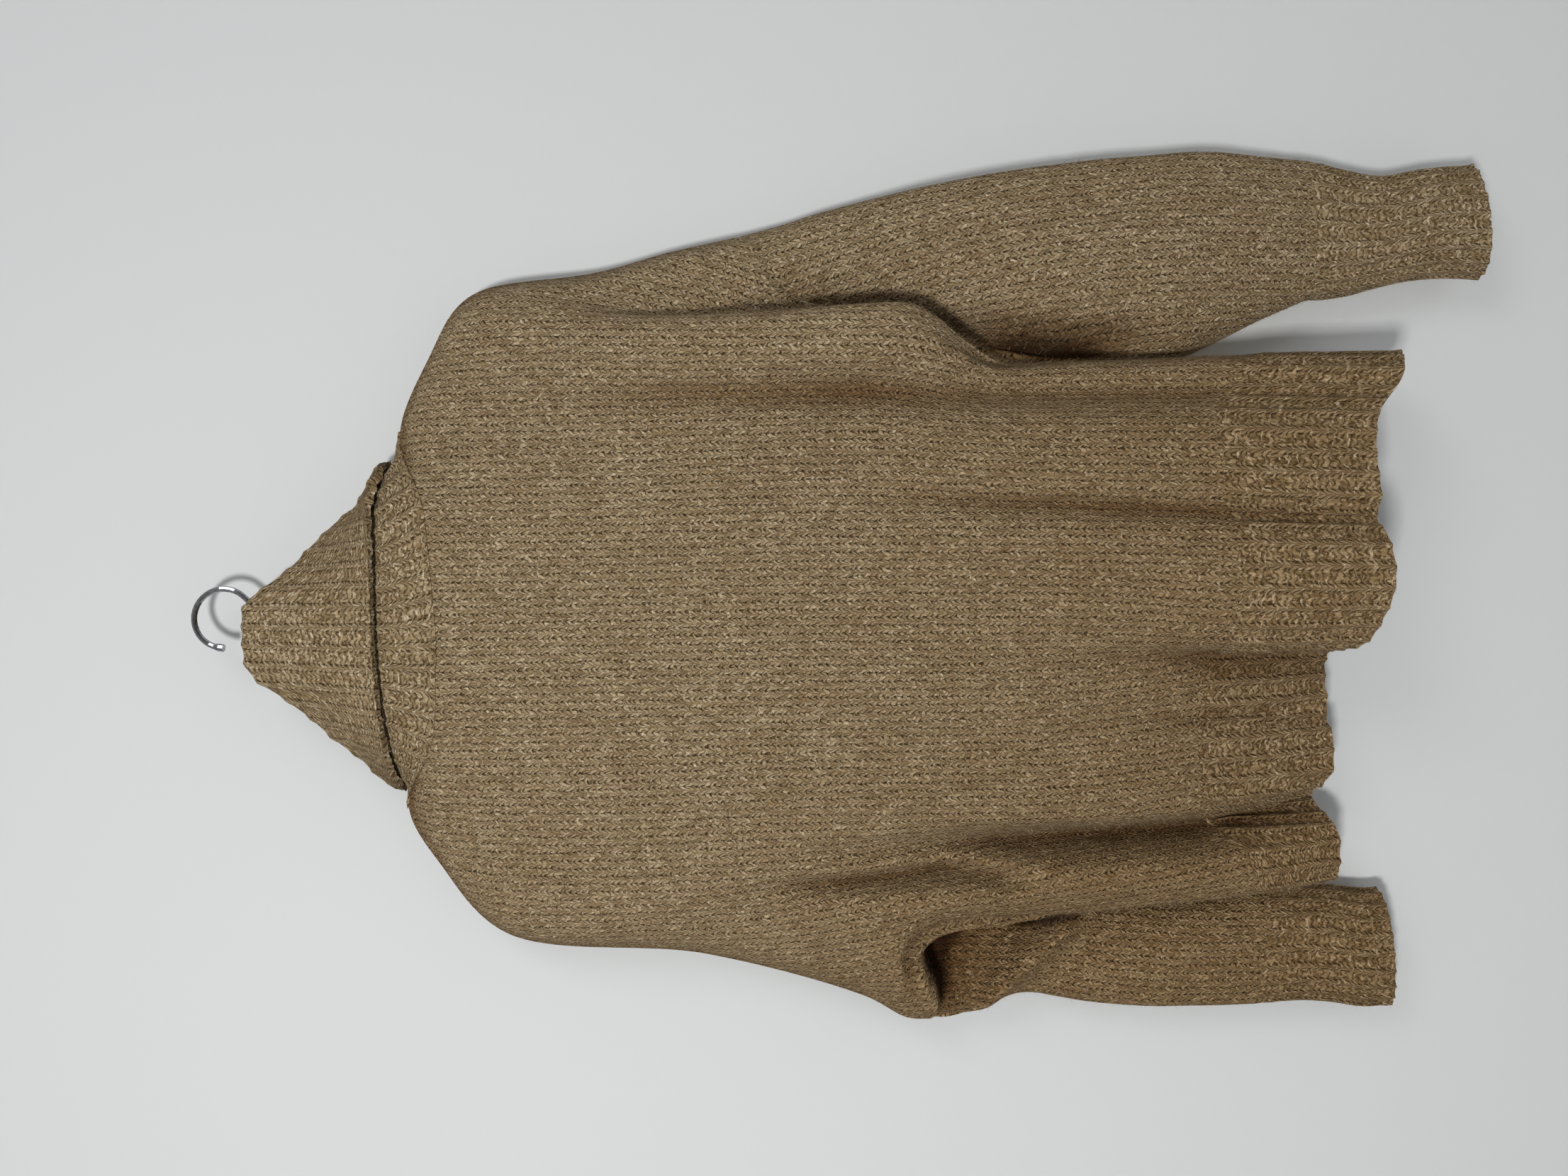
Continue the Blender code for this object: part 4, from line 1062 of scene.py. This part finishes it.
def knit_group(name):
    """A new knit's group, its end, its maths, the stitch's place and the unevenness."""
    group, start, end = new_group(
        name,
        (("Stitch", "NodeSocketVector", None), ("Unevenness", "NodeSocketFloat", 0.3)),
        (("Height", "NodeSocketFloat"), ("Chance", "NodeSocketFloat"), ("Grain", "NodeSocketFloat")))
    stitch = split(group, start.outputs["Stitch"])
    return group, end, Sum(group), stitch, start.outputs["Unevenness"]


def plain_knit_group():
    """Columns of V stitches. Stitch places come in wales across and rows down."""
    group, end, m, (x, y, z), uneven = knit_group("plain knit")
    sway = m.minus(m.noise(m.vector(x, m.times(y, 0.6), z), 0.5, 2.0), 0.5)
    lift = m.minus(m.noise(m.vector(y, x, m.plus(z, 4.0)), 0.45, 2.0), 0.5)
    wobble = m.minus(m.noise(m.vector(x, y, m.plus(z, 8.0)), 1.3, 1.0), 0.5)
    shake = m.minus(m.noise(m.vector(y, x, m.plus(z, 12.0)), 1.6, 1.0), 0.5)
    x = m.plus(x, m.times(m.plus(sway, wobble), uneven))
    y = m.plus(y, m.times(m.plus(lift, shake), m.times(uneven, 1.8)))
    local = m.minus(m.do("FRACT", x), 0.5)
    across = m.do("ABSOLUTE", local)
    side = m.do("GREATER_THAN", local, 0.0)
    identity = m.plus(m.times(m.do("FLOOR", x), 2.0), side)
    row = m.plus(y, m.times(m.random(m.vector(m.do("FLOOR", x), 0.0, z)), 0.35))
    height, chance, grain = legs(m, across, row, identity, z, 0.55)
    link(group, height, end.inputs["Height"])
    link(group, chance, end.inputs["Chance"])
    link(group, grain, end.inputs["Grain"])
    return group


def rib_knit_group():
    """One plait of V stitches on each rib and rows of purl bumps in the wide dips between."""
    group, end, m, (x, y, z), uneven = knit_group("rib knit")
    sway = m.minus(m.noise(m.vector(m.times(x, 2.0), y, z), 0.4, 2.0), 0.5)
    lift = m.minus(m.noise(m.vector(y, m.times(x, 2.5), z), 0.6, 2.0), 0.5)
    fine = m.vector(m.times(x, 6.0), m.times(y, 1.6), z)
    shake = m.minus(m.noise(fine, 1.0, 2.0), 0.5)
    x = m.plus(x, m.times(sway, m.times(uneven, 0.4)))
    y = m.plus(y, m.times(m.plus(lift, m.times(shake, 0.6)), m.times(uneven, 3.0)))
    rib = m.do("ROUND", x)
    local = m.minus(x, rib)
    away = m.do("ABSOLUTE", local)
    side = m.do("GREATER_THAN", local, 0.0)
    across = m.do("MINIMUM", m.times(away, 0.5 / 0.2), 0.5)
    identity = m.plus(m.times(rib, 2.0), side)
    plait, chance, grain = legs(m, across, y, identity, z, 0.6)
    arch = m.times(m.do("COSINE", m.times(away, 4.0 * math.pi / 0.6)), 0.22)
    bar = m.plus(y, arch)
    loops = m.do("FLOOR", m.times(away, 6.0))
    bump = m.do("POWER", m.do("SINE", m.times(m.do("FRACT", bar), math.pi)), 0.8)
    loop = m.plus(identity, m.times(loops, 0.37))
    purl_chance = m.random(m.vector(loop, m.do("FLOOR", bar), m.plus(z, 2.0)))
    streaks = m.vector(m.times(away, 9.0), m.times(bar, 4.0), identity)
    purl_grain = m.noise(streaks, 1.0, 3.0, 0.6)
    bump = m.plus(0.20, m.times(bump, m.plus(0.36, m.times(purl_chance, 0.35))))
    patches = m.vector(m.times(x, 7.0), m.times(y, 1.3), z)
    closed = m.smooth(m.noise(patches, 1.0, 2.0), 0.46, 0.62)
    bump = m.do("MAXIMUM", bump, m.times(closed, 0.62))
    share = m.smooth(away, 0.17, 0.25)
    link(group, m.blend(share, plait, bump), end.inputs["Height"])
    link(group, m.blend(share, chance, purl_chance), end.inputs["Chance"])
    link(group, m.blend(share, grain, purl_grain), end.inputs["Grain"])
    return group


def new_material(name, **values):
    """A material, its tree and its shader, with the given constants on the shader's sockets."""
    material = bpy.data.materials.new(name)
    material.use_nodes = True
    shader = material.node_tree.nodes["Principled BSDF"]
    for label, value in values.items():
        shader.inputs[label.replace("_", " ")].default_value = value
    return material, material.node_tree, shader


def ramp(tree, value, stops):
    node = tree.nodes.new("ShaderNodeValToRGB")
    link(tree, value, node.inputs["Fac"])
    bar = node.color_ramp
    while len(bar.elements) < len(stops):
        bar.elements.new(0.5)
    for element, (place, colour) in zip(bar.elements, stops):
        element.position = place
        element.color = (*colour, 1.0)
    return node.outputs["Color"]


def mixed(tree, kind, share, first, second):
    node = tree.nodes.new("ShaderNodeMix")
    node.data_type = "RGBA"
    node.blend_type = kind
    for name, value in (("Factor", share), ("A", first), ("B", second)):
        socket = [item for item in node.inputs if item.name == name and item.enabled][0]
        if isinstance(value, (int, float)):
            socket.default_value = value
        elif isinstance(value, tuple):
            socket.default_value = (*value, 1.0)
        else:
            link(tree, value, socket)
    return [item for item in node.outputs if item.enabled][0]


def wool_group():
    """Heather wool: each yarn leg's own tone, pale fibres along it, and painted shade in gaps and
    folds.
    """
    group, start, end = new_group(
        "heather wool",
        (("Height", "NodeSocketFloat", 0.5), ("Chance", "NodeSocketFloat", 0.5),
         ("Grain", "NodeSocketFloat", 0.5), ("Fold Shade", "NodeSocketFloat", 0.0),
         ("Stitch", "NodeSocketVector", None), ("Place", "NodeSocketVector", None)),
        (("Color", "NodeSocketColor"), ("Bump", "NodeSocketFloat")))
    m = Sum(group)
    height = start.outputs["Height"]
    grain = start.outputs["Grain"]
    stitch = start.outputs["Stitch"]
    tone = m.plus(m.times(start.outputs["Chance"], 0.42), m.times(grain, 0.8))
    wool = ramp(group, tone, WOOL_TONES)
    patch = m.smooth(m.noise(stitch, 0.11, 3.0, 0.55), 0.35, 0.7)
    wool = mixed(group, "MIX", m.times(patch, 0.35), wool, WOOL_WARM)
    # Painted shade: the gaps between the yarn legs, and each leg towards its sides, are darkened.
    hollow = m.smooth(height, 0.02, m.blend(m.noise(stitch, 0.9, 2.0, 0.6), 0.35, 0.95))
    colour = mixed(group, "MIX", hollow, WOOL_GAP_SHADE, wool)
    shade = m.blend(m.smooth(height, 0.25, 0.95), 0.62, 1.0)
    shadow = m.vector(shade, m.do("POWER", shade, 1.08), m.do("POWER", shade, 1.35))
    colour = mixed(group, "MULTIPLY", 1.0, colour, shadow)
    stray = m.smooth(m.noise(m.vector(*stretched(m, group, stitch)), 1.0, 2.0, 0.55), 0.58, 0.68)
    pale = m.times(m.do("MAXIMUM", m.smooth(grain, 0.60, 0.70), stray), 0.70)
    colour = mixed(group, "MIX", m.times(pale, m.smooth(height, 0.1, 0.4)), colour, WOOL_PALE)
    # Painted shade: the wool darkens in folds, grooves and underarm gaps, and most in the deepest.
    valley = start.outputs["Fold Shade"]
    colour = mixed(group, "MULTIPLY", valley, colour, WOOL_FOLD_SHADE)
    colour = mixed(group, "MULTIPLY", m.smooth(valley, 0.72, 1.0), colour, WOOL_DEEP_FOLD_SHADE)
    # Painted shade: the cloth is darker and browner low down, and most of all low on the viewer's
    # left.
    across, _, height_up = split(group, start.outputs["Place"])
    low = m.smooth(m.times(height_up, -1.0), 0.28, 0.74)
    low = m.times(low, m.blend(m.smooth(across, 0.14, 0.22), 1.0, 0.25))
    left = m.smooth(m.times(across, -1.0), 0.02, 0.24)
    deep = m.do("MAXIMUM", m.times(low, 0.75), m.times(m.times(low, left), 1.5))
    low_shade = m.do("MINIMUM", m.plus(deep, m.times(left, 0.25)), 1.0)
    colour = mixed(group, "MULTIPLY", low_shade, colour, WOOL_LOW_SHADE)
    link(group, colour, end.inputs["Color"])
    rough = m.plus(height, m.times(grain, 0.40))
    link(group, m.plus(rough, m.times(stray, 0.12)), end.inputs["Bump"])
    return group


def stretched(m, group, stitch):
    """Places for loose fibres, which lie mostly down the wales and wander."""
    x, y, z = split(group, stitch)
    wander = m.noise(stitch, 0.7, 1.0)
    return m.plus(m.times(x, 4.5), m.times(wander, 7.0)), m.times(y, 1.3), z


def add_bump(tree, shader, height, depth):
    bump = tree.nodes.new("ShaderNodeBump")
    bump.inputs["Distance"].default_value = depth
    link(tree, height, bump.inputs["Height"])
    link(tree, bump.outputs["Normal"], shader.inputs["Normal"])


def placed(tree, group):
    node = tree.nodes.new("ShaderNodeGroup")
    node.node_tree = group
    return node


def position(tree):
    return tree.nodes.new("ShaderNodeNewGeometry").outputs["Position"]


def attribute(tree, name):
    node = tree.nodes.new("ShaderNodeAttribute")
    node.attribute_name = name
    return node.outputs


def wool_material(name, knit, wool, depth):
    """A knitted cloth's material. depth is how far its stitches stand up, in metres."""
    material, tree, shader = new_material(
        name, Roughness=0.92, Specular_IOR_Level=0.08, Sheen_Weight=0.06, Sheen_Roughness=0.45,
        Sheen_Tint=(0.80, 0.68, 0.48, 1.0))
    places = attribute(tree, "stitch")["Vector"]
    stitches = placed(tree, knit)
    stitches.inputs["Unevenness"].default_value = 0.58
    link(tree, places, stitches.inputs["Stitch"])
    yarn = placed(tree, wool)
    for label in ("Height", "Chance", "Grain"):
        link(tree, stitches.outputs[label], yarn.inputs[label])
    link(tree, places, yarn.inputs["Stitch"])
    link(tree, position(tree), yarn.inputs["Place"])
    link(tree, attribute(tree, "valley")["Fac"], yarn.inputs["Fold Shade"])
    link(tree, yarn.outputs["Color"], shader.inputs["Base Color"])
    add_bump(tree, shader, yarn.outputs["Bump"], depth)
    return material


def fibre_material():
    material, tree, shader = new_material("loose_wool_fibres", Roughness=0.95,
                                          Specular_IOR_Level=0.05)
    m = Sum(tree)
    tone = m.noise(position(tree), 55.0, 3.0, 0.6)
    link(tree, ramp(tree, tone, FIBRE_TONES), shader.inputs["Base Color"])
    return material


def make_fibres(pieces, material):
    """The loose hairs that stand off the wool, each a thin bent strip, as one mesh."""
    rng = np.random.default_rng(11)
    places, ways, ups = [], [], []
    for piece in pieces:
        count = int(piece.area() * FIBRES_PER_SQUARE_METRE)
        last = piece.points.shape[0] - 1
        rows = rng.integers(1, last, count)
        columns = rng.integers(1, piece.points.shape[1] - 2, count)
        up = piece.normals[rows, columns] * piece.facing
        lift = (piece.half + piece.outer_relief[rows, columns] / 1000.0)[:, None]
        edge_on = (1.0 - np.abs(up[:, 1])) ** 2
        near_end = (rows > last - 3) & (piece.half > HALF_CLOTH / 1000.0)
        kept = rng.uniform(0.0, 1.0, count) < FIBRE_SHARE_FLAT + edge_on + near_end
        places.append((piece.points[rows, columns] + up * lift * 0.8)[kept])
        ways.append((piece.points[rows + 1, columns] - piece.points[rows, columns])[kept])
        ups.append(up[kept])
    places, ways, ups = np.concatenate(places), unit(np.concatenate(ways)), np.concatenate(ups)
    sides = np.cross(ways, ups)
    many = (len(places), 1)
    turn = rng.uniform(-1.5, 1.5, many)
    heading = ways * np.cos(turn) + sides * np.sin(turn)
    bend = ups * rng.uniform(0.2, 1.1, many) + sides * rng.normal(0.0, 0.5, many)
    curl = np.cross(heading, bend) * rng.normal(0.0, 0.5, many)
    length = rng.uniform(*FIBRE_LENGTHS, many)
    width = (sides * np.cos(turn) - ways * np.sin(turn) + ups * 0.5) * FIBRE_WIDTH
    corners = []
    for share in (0.0, 0.5, 1.0):
        centre = places + length * (heading * share + bend * share * (1.4 - share) + curl * share ** 2)
        corners += [centre + width * (1.0 - share * 0.7), centre - width * (1.0 - share * 0.7)]
    vertices = np.stack(corners, axis=1).reshape(-1, 3)
    faces = []
    for first in range(0, len(vertices), 6):
        for step in (0, 2):
            start = first + step
            faces.append((start, start + 1, start + 3, start + 2))
    mesh = bpy.data.meshes.new("wool_fibres")
    mesh.from_pydata(vertices.tolist(), [], faces)
    mesh.materials.append(material)
    item = bpy.data.objects.new("wool_fibres", mesh)
    bpy.context.scene.collection.objects.link(item)
    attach(item, "root")
    return item


def chrome_material():
    material, tree, shader = new_material("chrome_wire", Metallic=1.0)
    m = Sum(tree)
    wear = m.noise(position(tree), 420.0, 3.0, 0.6)
    link(tree, ramp(tree, wear, CHROME_TONES), shader.inputs["Base Color"])
    link(tree, m.plus(0.05, m.times(wear, 0.08)), shader.inputs["Roughness"])
    return material


def bar_material():
    material, tree, shader = new_material("hanger_bar_finish")
    m = Sum(tree)
    speckle = m.noise(position(tree), 260.0, 4.0, 0.6)
    link(tree, ramp(tree, speckle, BAR_TONES), shader.inputs["Base Color"])
    link(tree, m.plus(0.38, m.times(speckle, 0.15)), shader.inputs["Roughness"])
    add_bump(tree, shader, speckle, 0.0002)
    return material


# The stage, the light and the camera


def wall_material():
    """Pale paint that is clear from behind and lets light through, so that the back shows too."""
    material, tree, shader = new_material("pale_wall", Base_Color=(*WALL_COLOUR, 1.0),
                                          Roughness=0.9)
    clear = tree.nodes.new("ShaderNodeBsdfTransparent")
    m = Sum(tree)
    side = tree.nodes.new("ShaderNodeNewGeometry").outputs["Backfacing"]
    path = tree.nodes.new("ShaderNodeLightPath").outputs
    passing = m.do("MAXIMUM", path["Is Diffuse Ray"], path["Is Shadow Ray"])
    choice = tree.nodes.new("ShaderNodeMixShader")
    link(tree, m.do("MAXIMUM", side, passing), choice.inputs["Fac"])
    link(tree, shader.outputs["BSDF"], choice.inputs[1])
    link(tree, clear.outputs["BSDF"], choice.inputs[2])
    link(tree, choice.outputs["Shader"], tree.nodes["Material Output"].inputs["Surface"])
    return material


def sheet_of(name, corners, material):
    mesh = bpy.data.meshes.new(name)
    mesh.from_pydata(corners, [], [[0, 1, 2, 3]])
    mesh.materials.append(material)
    item = bpy.data.objects.new(name, mesh)
    bpy.context.scene.collection.objects.link(item)
    return item


def make_stage():
    wall_y = BACK_PLANE / 1000.0
    low = FLOOR_HEIGHT
    wall = sheet_of("wall_backdrop", [(-3, wall_y, low), (3, wall_y, low), (3, wall_y, 2.2),
                                      (-3, wall_y, 2.2)], wall_material())
    floor_paint = new_material("pale_floor", Base_Color=(*FLOOR_COLOUR, 1.0), Roughness=0.8)[0]
    floor = sheet_of("floor", [(-4, -4, low), (4, -4, low), (4, 4, low), (-4, 4, low)], floor_paint)


def aim(item, target):
    item.rotation_euler = (Vector(target) - item.location).to_track_quat("-Z", "Y").to_euler()


def make_lights():
    world = bpy.data.worlds.new("soft_room")
    bpy.context.scene.world = world
    world.use_nodes = True
    tree = world.node_tree
    background = tree.nodes["Background"]
    background.inputs["Color"].default_value = (*ROOM_COLOUR, 1.0)
    m = Sum(tree)
    height = split(tree, tree.nodes.new("ShaderNodeTexCoord").outputs["Generated"])[2]
    upper = m.smooth(height, -0.3, 0.4)
    link(tree, m.times(m.blend(upper, 0.35, 1.0), ROOM_STRENGTH), background.inputs["Strength"])
    for name, place, size, energy, colour in LIGHTS:
        data = bpy.data.lights.new(name, "AREA")
        data.size = size
        data.energy = energy
        data.color = colour
        lamp = bpy.data.objects.new(name, data)
        lamp.location = place
        bpy.context.scene.collection.objects.link(lamp)
        aim(lamp, LIGHT_TARGET)


def make_camera():
    """The photograph is turned a quarter: the garment's up points to the picture's left."""
    data = bpy.data.cameras.new("camera")
    data.lens = CAMERA_LENS
    data.sensor_width = 36.0
    data.clip_start = 0.02
    camera = bpy.data.objects.new("camera", data)
    right = Vector((0.0, 0.0, -1.0))
    up = Vector((1.0, 0.0, 0.0))
    turn = Matrix((right, up, right.cross(up))).transposed().to_4x4()
    camera.matrix_world = Matrix.Translation(CAMERA_PLACE) @ turn
    bpy.context.scene.collection.objects.link(camera)
    bpy.context.scene.camera = camera
    bpy.context.scene.view_settings.view_transform = "Standard"


def make_cloth():
    front, front_rib = make_front()
    back, back_rib = make_back(front.raw[0])
    first, last = neck_ends(front.raw)
    pieces = [front, back, front_rib, back_rib]
    above = np.linspace(0.0, UNDERARM, ARMHOLE_STEPS + 1)
    for name, armhole_front, armhole_back, side, hem_seam, sleeve_rings, cuff_rings, seed in SIDES:
        front_seam = seam_line(armhole_front, side, hem_seam, above)
        back_seam = seam_line(armhole_back, side, hem_seam, above)
        armhole = np.concatenate([front_seam, back_seam[::-1][1:-1]])
        flip = name == "right"
        pieces.append(make_sleeve(name + "_sleeve", sleeve_rings, armhole, seed, flip))
        pieces.append(make_cuff(name + "_cuff", cuff_rings, seed + 1, flip))
    neck_front = front.raw[0, first:last + 1]
    neck_back = back.raw[0, first:last + 1]
    pieces.append(make_collar(neck_front, neck_back))
    share_normals(pieces)
    return pieces


def main():
    make_lights()
    make_camera()
    make_stage()
    wool = wool_group()
    plain = wool_material("plain_knit_wool", plain_knit_group(), wool, 0.0016)
    ribbed = wool_material("rib_knit_wool", rib_knit_group(), wool, 0.0018)
    pieces = make_cloth()
    make_fibres(pieces, fibre_material())
    for piece in pieces:
        banded = "rib" in piece.name or "cuff" in piece.name or piece.name == "collar"
        item = piece.build(ribbed if banded else plain)
        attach(item, "root")
        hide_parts(piece.name)
    finishes = {"hanger_hook": chrome_material(), "hanger_arms": bar_material()}
    for name, finish in finishes.items():
        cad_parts[name].material_slots[0].material = finish


main()
